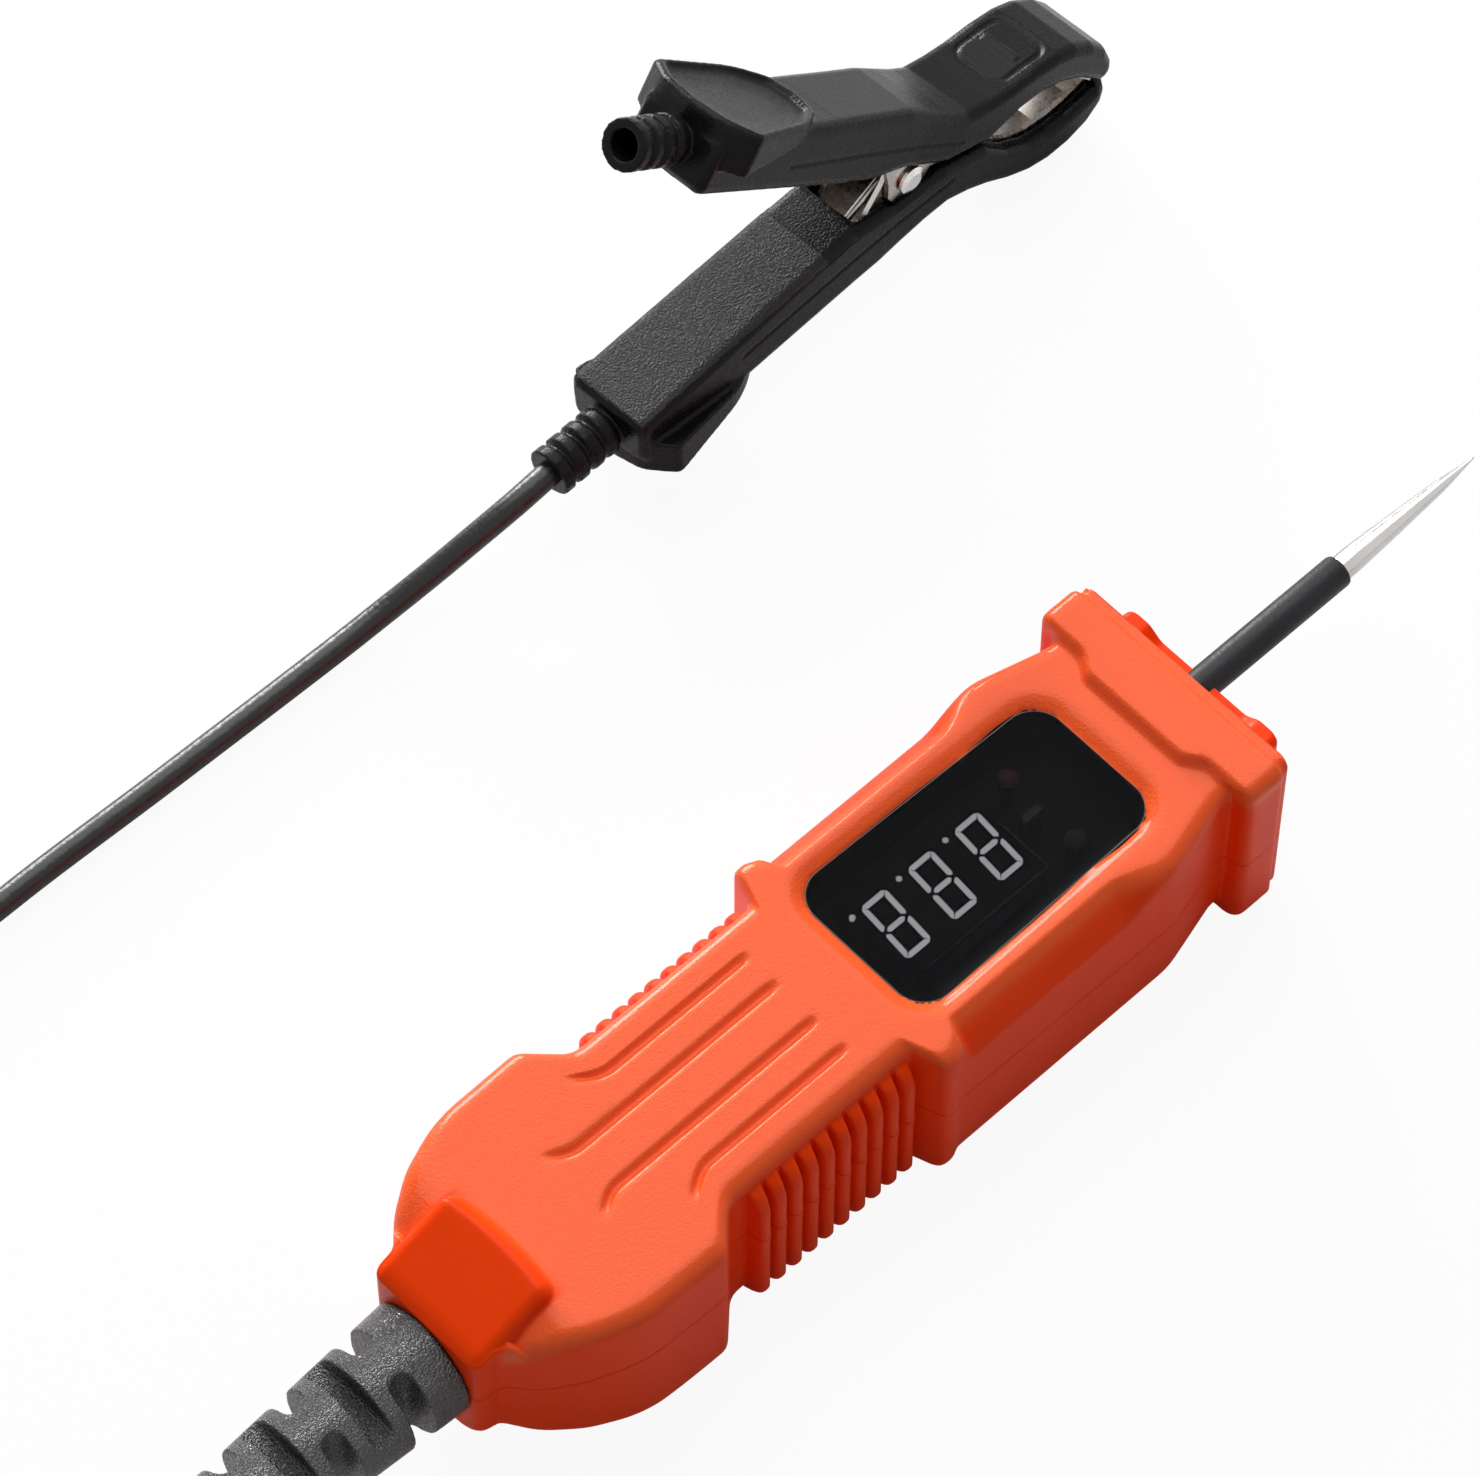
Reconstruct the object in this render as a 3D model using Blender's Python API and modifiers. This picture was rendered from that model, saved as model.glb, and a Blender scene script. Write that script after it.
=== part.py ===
# Automotive circuit tester with a probe, a three digit display and an earth clip on a coiled lead
# Metres, +Z up. The tester lies on its back on Z = 0 with its probe along +X.
# Stations along the tester are counted from the middle of its display window.

import math

import bmesh
import bpy
from mathutils import Matrix, Vector

MM = 0.001

# Clearances
GAP = 0.3 * MM                # between pieces that seat on each other

# Display window and bezel
WINDOW_LENGTH = 41.4 * MM
WINDOW_REAR_WIDTH = 23.4 * MM
WINDOW_FRONT_WIDTH = 22.0 * MM
WINDOW_CORNER = 4.5 * MM
WINDOW_X = 0.35 * MM
WINDOW_THICK = 1.0 * MM
WINDOW_SINK = 0.9 * MM        # window face below the deck
WINDOW_FRONT_X = WINDOW_X + WINDOW_LENGTH / 2
WINDOW_REAR_X = WINDOW_X - WINDOW_LENGTH / 2
BEZEL_FLARE = 2.2 * MM        # the bezel widens by this much up to the deck
LEDGE = 1.5 * MM              # ledge that carries the window
FRAME_WALL = 1.6 * MM         # wall round the window pocket
FRAME_BELOW = 1.4 * MM        # the pocket's wall below the ledge

# Case outline, half widths and stations along X, counted from the window's two ends
CASE_TOP = 29.0 * MM          # display deck above the bench
PARTING_FRONT = 13.1 * MM     # the joint between the shells climbs from here
PARTING_TAIL = 17.6 * MM      # to here, the middle of the strain relief
PARTING_FRONT_X = WINDOW_FRONT_X + 4.95 * MM
PARTING_TAIL_X = WINDOW_REAR_X - 55.65 * MM
WALL = 2.0 * MM
NECK_X = WINDOW_FRONT_X + 9.95 * MM            # front end of the body, hidden in the flange
NECK_HALF = 15.2 * MM
HEAD_FRONT_X = WINDOW_FRONT_X - 4.05 * MM
HEAD_HALF = 18.2 * MM
SHOULDER_FRONT_X = WINDOW_REAR_X + 0.35 * MM
SHOULDER_X = WINDOW_REAR_X - 2.65 * MM
SHOULDER_HALF = 18.9 * MM
GRIP_FRONT_X = WINDOW_REAR_X - 4.45 * MM
GRIP_REAR_X = WINDOW_REAR_X - 34.05 * MM
GRIP_HALF = 13.9 * MM
BULGE_FRONT_X = WINDOW_REAR_X - 39.05 * MM
BULGE_HALF = 18.8 * MM
BULGE_TAPER_X = WINDOW_REAR_X - 57.15 * MM
BULGE_TAPER_HALF = 18.2 * MM
TAIL_X = WINDOW_REAR_X - 68.65 * MM
TAIL_HALF = 9.0 * MM
BACK_RISE_X = WINDOW_REAR_X - 41.65 * MM      # behind here the back curves up to the tail
BACK_RISE = 7.2 * MM
DECK_DROP_X = WINDOW_REAR_X - 57.65 * MM      # behind here the deck curves down to the tail
DECK_DROP = 6.0 * MM
TOP_EDGE = 2.6 * MM           # rounding of the deck's edge
HEAD_EDGE = 3.6 * MM          # wider, flatter facet beside the window
BACK_EDGE = 3.4 * MM          # rounding of the back's edge

# Grip ribs
RIB_COUNT = 10
RIB_PITCH = 2.68 * MM
RIB_WIDTH = 1.3 * MM
RIB_FIRST_X = WINDOW_REAR_X - 6.05 * MM
RIB_HALF = 16.4 * MM          # half width over the ribs
RIB_SLOPE = 0.12 * MM         # draft on each rib's side
RIB_ARCH = 4.2 * MM           # height of the arched top end

# Styling grooves in the deck: half spacing, front, rear of the straight run, curved end
GROOVE_DEPTH = 0.45 * MM
GROOVE_WIDTH = 1.1 * MM
GROOVE_FRONT_X = WINDOW_REAR_X - 9.15 * MM
GROOVES = (
    (3.4 * MM, BULGE_FRONT_X - 3.6 * MM, 5.2 * MM, BULGE_FRONT_X - 8.6 * MM),
    (8.6 * MM, GRIP_REAR_X + 1.7 * MM, 10.9 * MM, GRIP_REAR_X - 4.1 * MM),
)

# Front flange, lip and nose
FLANGE_REAR_X = WINDOW_FRONT_X + 7.75 * MM
FLANGE_FRONT_X = WINDOW_FRONT_X + 13.85 * MM
FLANGE_HALF = 18.5 * MM
FLANGE_RISE = 1.5 * MM        # above the deck
FLANGE_EDGE = 1.3 * MM
TAB_REAR_X = WINDOW_FRONT_X + 5.55 * MM        # middle stretch of the flange reaches back to here
TAB_HALF = 8.2 * MM
TAB_SWEEP = 2.8 * MM
LIP_FRONT_X = WINDOW_FRONT_X + 15.45 * MM
LIP_HALF = 17.9 * MM
LIP_DROP = 0.8 * MM           # below the flange's top
NOSE_FRONT_X = WINDOW_FRONT_X + 18.75 * MM
NOSE_HALF = 13.2 * MM
NOSE_TOP = 24.6 * MM
NOSE_BUMP = 1.5 * MM          # rise of the two shoulders of the nose
NOSE_BUMP_Y = 10.6 * MM

# Rear collar round the strain relief
COLLAR_RIDGE_X = WINDOW_REAR_X - 58.65 * MM
COLLAR_FRONT_X = WINDOW_REAR_X - 56.25 * MM
COLLAR_REAR_X = WINDOW_REAR_X - 70.65 * MM
COLLAR_HALF = 9.2 * MM
COLLAR_RIDGE_TOP = 31.4 * MM
COLLAR_REAR_TOP = 26.6 * MM
COLLAR_CORNER = 2.0 * MM

# Circuit board and what stands on it
BOARD_THICK = 1.6 * MM
BOARD_TOP = 17.0 * MM
BOARD_FRONT_X = WINDOW_FRONT_X - 1.05 * MM
BOARD_REAR_X = WINDOW_REAR_X - 29.65 * MM
BOARD_CLEAR = 1.3 * MM        # between the board and the grip's walls
BOARD_HALF = GRIP_HALF - WALL - BOARD_CLEAR
MODULE_LENGTH = 22.5 * MM
MODULE_WIDTH = 14.0 * MM
MODULE_X = -5.3 * MM
MODULE_Y = 0.4 * MM
DIGIT_COUNT = 3
DIGIT_PITCH = 7.8 * MM
DIGIT_HEIGHT = 8.8 * MM
DIGIT_WIDTH = 4.1 * MM
DIGIT_FIRST_X = -12.8 * MM
DIGIT_SLANT = 0.08
SEGMENT_WIDTH = 0.75 * MM
SEGMENT_GAP = 0.2 * MM
SEGMENT_RISE = 0.12 * MM
POINT_RADIUS = 0.4 * MM
POINT_Y = 1.4 * MM            # decimal point beyond the end of its digit
LED_X = 11.4 * MM
LED_Y = 5.9 * MM
LED_RADIUS = 1.45 * MM
LED_RIM = 0.35 * MM
BAR_X = 9.7 * MM
BAR_SIZE = (2.9 * MM, 1.1 * MM)
CHIP_X = WINDOW_REAR_X - 15.65 * MM
CHIP_SIZE = (10.0 * MM, 7.6 * MM, 1.8 * MM)
BUZZER_X = WINDOW_REAR_X - 5.15 * MM
BUZZER_RADIUS = 4.5 * MM
BUZZER_HEIGHT = 5.0 * MM
POST_RADIUS = 2.2 * MM
POSTS = ((BOARD_FRONT_X - 6.0 * MM, 7.5 * MM), (BOARD_REAR_X + 5.0 * MM, 7.5 * MM))

# Case screws, put in from the back
SCREW_PLACES = ((WINDOW_FRONT_X + 3.35 * MM, 9.6 * MM), (BULGE_FRONT_X - 5.1 * MM, 11.5 * MM))
SCREW_RADIUS = 1.2 * MM
SCREW_HEAD_RADIUS = 2.3 * MM
SCREW_HEAD_HEIGHT = 1.7 * MM
SCREW_LENGTH = 10.0 * MM
SCREW_RECESS = 6.5 * MM       # depth of the head below the back
BOSS_WALL = 1.2 * MM

# Probe
PROBE_Z = 23.4 * MM
ROD_RADIUS = 1.75 * MM
ROD_REAR_X = WINDOW_FRONT_X + 2.85 * MM
ROD_TAPER_X = WINDOW_FRONT_X + 44.95 * MM
ROD_KNEE_X = WINDOW_FRONT_X + 61.45 * MM
ROD_KNEE_RADIUS = 0.85 * MM
ROD_TIP_X = WINDOW_FRONT_X + 67.55 * MM
ROD_TIP_RADIUS = 0.08 * MM
SLEEVE_WALL = 0.5 * MM
SLEEVE_REAR_X = WINDOW_FRONT_X + 12.45 * MM
SLEEVE_FRONT_X = WINDOW_FRONT_X + 42.95 * MM
TERMINAL_RADIUS = 3.0 * MM
TERMINAL_LENGTH = 2.6 * MM
LEAD_RADIUS = 0.8 * MM

# Strain relief on the lead, at the rear
BOOT_ROOT_RADIUS = 8.1 * MM
BOOT_LENGTH = 44.0 * MM
BOOT_END_RADIUS = 5.6 * MM
BOOT_NECK_RADIUS = 5.0 * MM
BOOT_FLANGE_RADIUS = 7.0 * MM
BOOT_FLANGE_THICK = 2.0 * MM
COLLAR_WALL = 2.6 * MM
SLOT_PITCH = 5.35 * MM
SLOT_COUNT = 7
SLOT_FIRST = 6.5 * MM
SLOT_WIDTH = 3.2 * MM
SLOT_CORE = 3.0 * MM          # half width of the web that a slot leaves

# Lead
CORD_RADIUS = 1.75 * MM
COIL_X = -196.0 * MM
COIL_Y = 24.5 * MM
COIL_MEAN_RADIUS = 19.25 * MM
COIL_RINGS = 4                # turns side by side
COIL_LAYERS = 2
TIE_THICK = 0.6 * MM
TIE_WIDTH = 6.0 * MM
TIE_ANGLE = 200.0

# Earth clip. u runs from the handle's rear end to the jaw's tip, z up from the bench.
CLIP_X = 17.2 * MM
CLIP_Y = 84.3 * MM
CLIP_LIFT = 0.4 * MM          # the clip leans a little, so its middle is this much off the bench
CLIP_YAW = 2.0
CLIP_ROLL = 3.6
PIVOT_U = 51.2 * MM
PIVOT_Z = 18.9 * MM
TIP_U = 87.9 * MM
TIP_Z = 6.3 * MM
HANDLE_INNER_Z = 15.9 * MM    # at the handle's rear end
HANDLE_SWELL = 2.4 * MM       # the handle is this much thicker in front of the pivot
HANDLE_OUTER_Z = 7.7 * MM
HANDLE_REAR_HALF = 6.75 * MM
HANDLE_FRONT_HALF = 6.1 * MM
JAW_HALF = 6.5 * MM
JAW_PROUD = 0.45 * MM         # the jaws stand this far proud of the plastic
MOUTH_REAR_U = 66.5 * MM
MOUTH_FRONT_U = 85.0 * MM
MOUTH_DEPTH = 3.9 * MM        # half height of the open mouth
JAW_SHEET = 0.7 * MM
UPPER_JAW_HALF = 5.0 * MM
LOWER_JAW_HALF = 4.0 * MM
EAR_RADIUS = 4.0 * MM
RIVET_RADIUS = 1.4 * MM
RIVET_HEAD_RADIUS = 2.1 * MM
RIVET_HEAD_HEIGHT = 0.8 * MM
SPRING_WIRE = 0.55 * MM
SPRING_RADIUS = 2.5 * MM
SPRING_TURNS = 3
STUB_RADIUS = 3.5 * MM
STUB_GROOVE = 0.6 * MM
STUB_LENGTH = 10.6 * MM
STUB_RINGS = 4
STUB_Z = 11.2 * MM
STUB_BORE = 2.1 * MM
PAD_LENGTH = 24.0 * MM
PAD_HALF = 9.0 * MM
PAD_ROOT = 0.8 * MM           # the pad goes this deep into the handle
PAD_THICK = 3.9 * MM          # at the rear, above the handle
PAD_TIP_THICK = 0.7 * MM
PAD_RECESS = 0.8 * MM
PAD_RIM = 0.9 * MM

# The tester's box is centred on the row's origin
BOOT_REAR_X = COLLAR_REAR_X - GAP - BOOT_LENGTH
TESTER_X = -(ROD_TIP_X + BOOT_REAR_X) / 2


def make_material(name, colour, roughness, metallic=0.0):
    material = bpy.data.materials.new(name)
    material.use_nodes = True
    shader = material.node_tree.nodes["Principled BSDF"]
    shader.inputs["Base Color"].default_value = (*colour, 1.0)
    shader.inputs["Roughness"].default_value = roughness
    shader.inputs["Metallic"].default_value = metallic
    return material


def make_collection(name):
    collection = bpy.data.collections.new(name)
    bpy.context.scene.collection.children.link(collection)
    return collection


def make_empty(name, location, yaw=0.0, roll=0.0):
    empty = bpy.data.objects.new(name, None)
    empty.location = location
    empty.rotation_euler = (math.radians(roll), 0.0, math.radians(yaw))
    PARTS.objects.link(empty)
    return empty


def finish_mesh(mesh, smooth_angle=35.0):
    """Turn the faces outwards and shade the round ones smooth."""
    bm = bmesh.new()
    bm.from_mesh(mesh)
    bmesh.ops.recalc_face_normals(bm, faces=bm.faces)
    bm.to_mesh(mesh)
    bm.free()
    mesh.shade_smooth()
    mesh.set_sharp_from_angle(angle=math.radians(smooth_angle))


def place(name, mesh, material, parent, location=(0.0, 0.0, 0.0), rotation=(0.0, 0.0, 0.0)):
    """Make a visible piece of the object."""
    finish_mesh(mesh)
    mesh.materials.append(material)
    piece = bpy.data.objects.new(name, mesh)
    piece.location = location
    piece.rotation_euler = rotation
    piece.parent = parent
    PARTS.objects.link(piece)
    return piece


def tool(name, mesh, parent):
    """Make a hidden solid that is only joined to or cut from a piece."""
    finish_mesh(mesh)
    guide = bpy.data.objects.new(name, mesh)
    guide.parent = parent
    guide.hide_render = True
    guide.display_type = "WIRE"
    TOOLS.objects.link(guide)
    return guide


def combine(piece, guide, operation):
    modifier = piece.modifiers.new(guide.name, "BOOLEAN")
    modifier.operation = operation
    modifier.solver = "EXACT"
    modifier.object = guide


def add(piece, *guides):
    for guide in guides:
        combine(piece, guide, "UNION")


def cut(piece, *guides):
    for guide in guides:
        combine(piece, guide, "DIFFERENCE")


def rounded_path(corners, segments=3):
    """Corners are (x, y, radius). Each corner with a radius becomes an arc."""
    path = []
    for index, (x, y, radius) in enumerate(corners):
        here = Vector((x, y))
        if radius == 0.0:
            path.append(here)
            continue
        before = Vector(corners[index - 1][:2]) - here
        after = Vector(corners[(index + 1) % len(corners)][:2]) - here
        half_angle = before.angle(after) / 2
        reach = min(radius / math.tan(half_angle), 0.49 * before.length, 0.49 * after.length)
        arc_radius = reach * math.tan(half_angle)
        centre = here + (before.normalized() + after.normalized()).normalized() * (
            arc_radius / math.sin(half_angle))
        start = here + before.normalized() * reach - centre
        sweep = start.angle_signed(here + after.normalized() * reach - centre)
        for step in range(segments + 1):
            turned = start.copy()
            turned.rotate(Matrix.Rotation(-sweep * step / segments, 2))
            path.append(centre + turned)
    return path


def loft(name, sections):
    """Join closed loops of equal length into one closed skin with flat ends."""
    bm = bmesh.new()
    rings = [[bm.verts.new(point) for point in section] for section in sections]
    count = len(rings[0])
    for ring, following in zip(rings, rings[1:]):
        for index in range(count):
            after = (index + 1) % count
            bm.faces.new((ring[index], ring[after], following[after], following[index]))
    bm.faces.new(rings[0])
    bm.faces.new(rings[-1])
    mesh = bpy.data.meshes.new(name)
    bm.to_mesh(mesh)
    bm.free()
    return mesh


def prism(name, outline, low, high, edge=0.0, segments=3):
    """Extrude a plan outline from low to high and round its upper rim."""
    bm = bmesh.new()
    base = bm.faces.new([bm.verts.new((x, y, low)) for x, y in outline])
    raised = bmesh.ops.extrude_face_region(bm, geom=[base])["geom"]
    top = [vertex for vertex in raised if isinstance(vertex, bmesh.types.BMVert)]
    bmesh.ops.translate(bm, verts=top, vec=(0.0, 0.0, high - low))
    if edge:
        rim = [item for item in raised if isinstance(item, bmesh.types.BMEdge)]
        bmesh.ops.bevel(bm, geom=rim, offset=edge, segments=segments, profile=0.5, affect="EDGES")
    bmesh.ops.recalc_face_normals(bm, faces=bm.faces)
    mesh = bpy.data.meshes.new(name)
    bm.to_mesh(mesh)
    bm.free()
    return mesh


def evaluated_mesh(holder):
    """The mesh that an object makes with its modifiers or its bevel; the object goes."""
    TOOLS.objects.link(holder)
    bpy.context.view_layer.update()
    depsgraph = bpy.context.evaluated_depsgraph_get()
    mesh = bpy.data.meshes.new_from_object(holder.evaluated_get(depsgraph))
    bpy.data.objects.remove(holder)
    return mesh


def turned(name, profile, segments=24, ring=False):
    """Turn an (along, radius) profile round the X axis. Only a ring stays off the axis."""
    points = list(profile)
    if not ring:
        points = [(points[0][0], 0.0)] + points + [(points[-1][0], 0.0)]
    bm = bmesh.new()
    verts = [bm.verts.new((along, 0.0, radius)) for along, radius in points]
    for start, end in zip(verts, verts[1:] + verts[:1] if ring else verts[1:]):
        bm.edges.new((start, end))
    outline = bpy.data.meshes.new(name)
    bm.to_mesh(outline)
    bm.free()
    holder = bpy.data.objects.new(name, outline)
    screw = holder.modifiers.new("Turn", "SCREW")
    screw.axis = "X"
    screw.steps = screw.render_steps = segments
    screw.use_merge_vertices = True
    screw.merge_threshold = 0.01 * MM
    return evaluated_mesh(holder)


def cylinder(name, radius, low, high, centre, segments=20):
    """Upright cylinder at centre = (x, y)."""
    bm = bmesh.new()
    bmesh.ops.create_cone(bm, cap_ends=True, segments=segments, radius1=radius, radius2=radius,
                          depth=high - low,
                          matrix=Matrix.Translation((centre[0], centre[1], (low + high) / 2)))
    mesh = bpy.data.meshes.new(name)
    bm.to_mesh(mesh)
    bm.free()
    return mesh


def box(name, low, high):
    bm = bmesh.new()
    size = Vector(high) - Vector(low)
    middle = (Vector(high) + Vector(low)) / 2
    bmesh.ops.create_cube(bm, size=1.0,
                          matrix=Matrix.Translation(middle) @ Matrix.Diagonal((*size, 1.0)))
    mesh = bpy.data.meshes.new(name)
    bm.to_mesh(mesh)
    bm.free()
    return mesh


def merged(name, meshes):
    """Put several separate closed meshes into one."""
    bm = bmesh.new()
    for mesh in meshes:
        bm.from_mesh(mesh)
    result = bpy.data.meshes.new(name)
    bm.to_mesh(result)
    bm.free()
    return result


def transformed(mesh, matrix):
    mesh.transform(matrix)
    return mesh


def smooth_route(points, spacing):
    """Even points on a smooth curve through the route's own points."""
    knots = [Vector(point) for point in points]
    knots = [2 * knots[0] - knots[1]] + knots + [2 * knots[-1] - knots[-2]]
    fine = []
    for a, b, c, d in zip(knots, knots[1:], knots[2:], knots[3:]):
        for step in range(16):
            t = step / 16
            fine.append(0.5 * (2 * b + (c - a) * t + (2 * a - 5 * b + 4 * c - d) * t ** 2
                               + (3 * b - a - 3 * c + d) * t ** 3))
    fine.append(knots[-2])
    length = sum((q - p).length for p, q in zip(fine, fine[1:]))
    count = max(2, round(length / spacing))
    step, travelled, even = length / count, 0.0, [fine[0]]
    for p, q in zip(fine, fine[1:]):
        piece = (q - p).length
        while travelled + piece >= step * len(even) and len(even) < count:
            even.append(p.lerp(q, (step * len(even) - travelled) / piece))
        travelled += piece
    return even + [fine[-1]]


def wire(name, points, radius, material, parent, resolution=2):
    """A round wire along points, as a curve with filled caps."""
    curve = bpy.data.curves.new(name, "CURVE")
    curve.dimensions = "3D"
    curve.bevel_depth = radius
    curve.bevel_resolution = resolution
    curve.use_fill_caps = True
    spline = curve.splines.new("POLY")
    spline.points.add(len(points) - 1)
    for slot, point in zip(spline.points, points):
        slot.co = (*point, 1.0)
    curve.materials.append(material)
    piece = bpy.data.objects.new(name, curve)
    piece.parent = parent
    PARTS.objects.link(piece)
    return piece


# Case shells

def body_plan():
    """Half outline of the body in plan, from the front end to the tail."""
    return rounded_path([
        (NECK_X, NECK_HALF, 0.0),
        (HEAD_FRONT_X + 10 * MM, NECK_HALF + 0.3 * MM, 6 * MM),
        (HEAD_FRONT_X, HEAD_HALF, 12 * MM),
        (SHOULDER_FRONT_X, HEAD_HALF, 3 * MM),
        (SHOULDER_FRONT_X - 1.2 * MM, SHOULDER_HALF, 1.2 * MM),
        (SHOULDER_X, SHOULDER_HALF, 0.9 * MM),
        (GRIP_FRONT_X, GRIP_HALF, 1.0 * MM),
        (GRIP_REAR_X, GRIP_HALF, 4.0 * MM),
        (BULGE_FRONT_X, BULGE_HALF, 1.8 * MM),
        (BULGE_TAPER_X, BULGE_TAPER_HALF, 12 * MM),
        (BULGE_TAPER_X - 8 * MM, BULGE_TAPER_HALF - 5.6 * MM, 7 * MM),
        (TAIL_X, TAIL_HALF, 0.0),
    ])


def body_stations():
    """Stations (x, half width, rib) along the body, with every rib's edges among them."""
    stations = [(point.x, point.y, False) for point in body_plan()]
    first_gap = min(x for x, _, _ in stations if x > RIB_FIRST_X + RIB_WIDTH)
    for index in range(RIB_COUNT):
        middle = RIB_FIRST_X - index * RIB_PITCH
        front, rear = middle + RIB_WIDTH / 2, middle - RIB_WIDTH / 2
        stations += [(front + RIB_SLOPE, GRIP_HALF, False), (front, GRIP_HALF, True),
                     (rear, GRIP_HALF, True), (rear - RIB_SLOPE, GRIP_HALF, False)]
    rib_front = RIB_FIRST_X + RIB_WIDTH / 2 + RIB_SLOPE
    kept = [s for s in stations if not (rib_front < s[0] < first_gap)]
    return sorted(kept, key=lambda station: -station[0])


def edge_at(x):
    """Width, height and roundness of the deck's edge: a flatter facet beside the window."""
    if SHOULDER_FRONT_X + 2 * MM < x < HEAD_FRONT_X - 3 * MM:
        return HEAD_EDGE, HEAD_EDGE * 1.1, 1.4
    return TOP_EDGE, TOP_EDGE, 2.0


def parting(x):
    """Height of the joint between the shells."""
    share = (PARTING_FRONT_X - x) / (PARTING_FRONT_X - PARTING_TAIL_X)
    return PARTING_FRONT + (PARTING_TAIL - PARTING_FRONT) * min(max(share, 0.0), 1.0)


def back_height(x):
    """Height of the back, which curves up behind the grip."""
    share = max(0.0, (BACK_RISE_X - x) / (BACK_RISE_X - COLLAR_REAR_X))
    return BACK_RISE * share ** 2


def deck_height(x):
    """Height of the deck, which curves down at the tail."""
    share = max(0.0, (DECK_DROP_X - x) / (DECK_DROP_X - TAIL_X))
    return CASE_TOP - DECK_DROP * share ** 2


def upper_section(x, half, rib):
    edge, drop, power = edge_at(x)
    deck = deck_height(x)
    side = [(half - edge, deck)]
    for step in range(1, 4):
        angle = math.pi / 2 * step / 3
        side.append((half - edge + edge * math.sin(angle) ** (2 / power),
                     deck - drop + drop * math.cos(angle) ** (2 / power)))
    out = RIB_HALF - GRIP_HALF if rib else 0.0
    arch_top = deck - HEAD_EDGE * 1.1 - 0.4 * MM
    arch = min(RIB_ARCH, (arch_top - parting(x)) / 2)
    for step in range(4):
        angle = math.pi / 2 * step / 3
        side.append((half + out * math.sin(angle), arch_top - arch * (1 - math.cos(angle))))
    side.append((half + out, parting(x) + GAP / 2))
    return [(x, -y, z) for y, z in reversed(side)] + [(x, y, z) for y, z in side]


def lower_section(x, half, rib):
    out = RIB_HALF - GRIP_HALF if rib else 0.0
    side = [(half + out, parting(x) - GAP / 2)]
    for step in range(4):
        angle = math.pi / 2 * step / 3
        side.append((half - BACK_EDGE + (BACK_EDGE + out) * math.cos(angle),
                     back_height(x) + BACK_EDGE * (1 - math.sin(angle))))
    return [(x, -y, z) for y, z in reversed(side)] + [(x, y, z) for y, z in side]


def mirrored_plan(half_path):
    """Whole outline from its half on the +Y side, front to rear."""
    near = [(p[0], -p[1]) for p in reversed(half_path) if p[1] > 0.0]
    return [(p[0], p[1]) for p in half_path] + near


def flange_plan():
    """Plan of the flange: its middle stretch reaches back in a soft step."""
    return mirrored_plan(rounded_path([
        (FLANGE_FRONT_X, 0.0, 0.0),
        (FLANGE_FRONT_X, FLANGE_HALF - 5 * MM, 20 * MM),
        (FLANGE_FRONT_X - 0.4 * MM, FLANGE_HALF, 1.8 * MM),
        (FLANGE_REAR_X, FLANGE_HALF, 1.6 * MM),
        (FLANGE_REAR_X, TAB_HALF + TAB_SWEEP + 1.0 * MM, 2.0 * MM),
        (TAB_REAR_X, TAB_HALF, 2.0 * MM),
        (TAB_REAR_X, 0.0, 0.0),
    ]))


def lip_plan():
    rear = FLANGE_REAR_X + 1.5 * MM
    return mirrored_plan(rounded_path([
        (LIP_FRONT_X, 0.0, 0.0),
        (LIP_FRONT_X, LIP_HALF - 5 * MM, 20 * MM),
        (LIP_FRONT_X - 0.4 * MM, LIP_HALF, 1.6 * MM),
        (rear, LIP_HALF, 0.0),
        (rear, 0.0, 0.0),
    ]))


def nose_sections(low, high_shift, sign):
    """Sections of the nose block along X. Its top dips between two shoulders."""
    sections = []
    for x, inset in ((LIP_FRONT_X - 2 * MM, 0.0), (NOSE_FRONT_X - 1.2 * MM, 0.0),
                     (NOSE_FRONT_X - 0.35 * MM, 0.35 * MM), (NOSE_FRONT_X, 1.2 * MM)):
        half = NOSE_HALF - inset
        top = NOSE_TOP - inset + high_shift
        crest = NOSE_BUMP if sign > 0 else 0.0
        side = [(0.0, top), (NOSE_BUMP_Y - 4 * MM, top), (NOSE_BUMP_Y, top + crest),
                (half - 1.2 * MM, top + crest - 0.3 * MM), (half, top + crest - 2 * MM)]
        loop = [(x, y, z) for y, z in side] + [(x, half, low), (x, -half, low)]
        sections.append(loop + [(x, -y, z) for y, z in reversed(side[1:])])
    return sections


def collar_top(x):
    share = (COLLAR_RIDGE_X - x) / (COLLAR_RIDGE_X - COLLAR_REAR_X)
    return COLLAR_RIDGE_TOP + (COLLAR_REAR_TOP - COLLAR_RIDGE_TOP) * share


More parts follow.
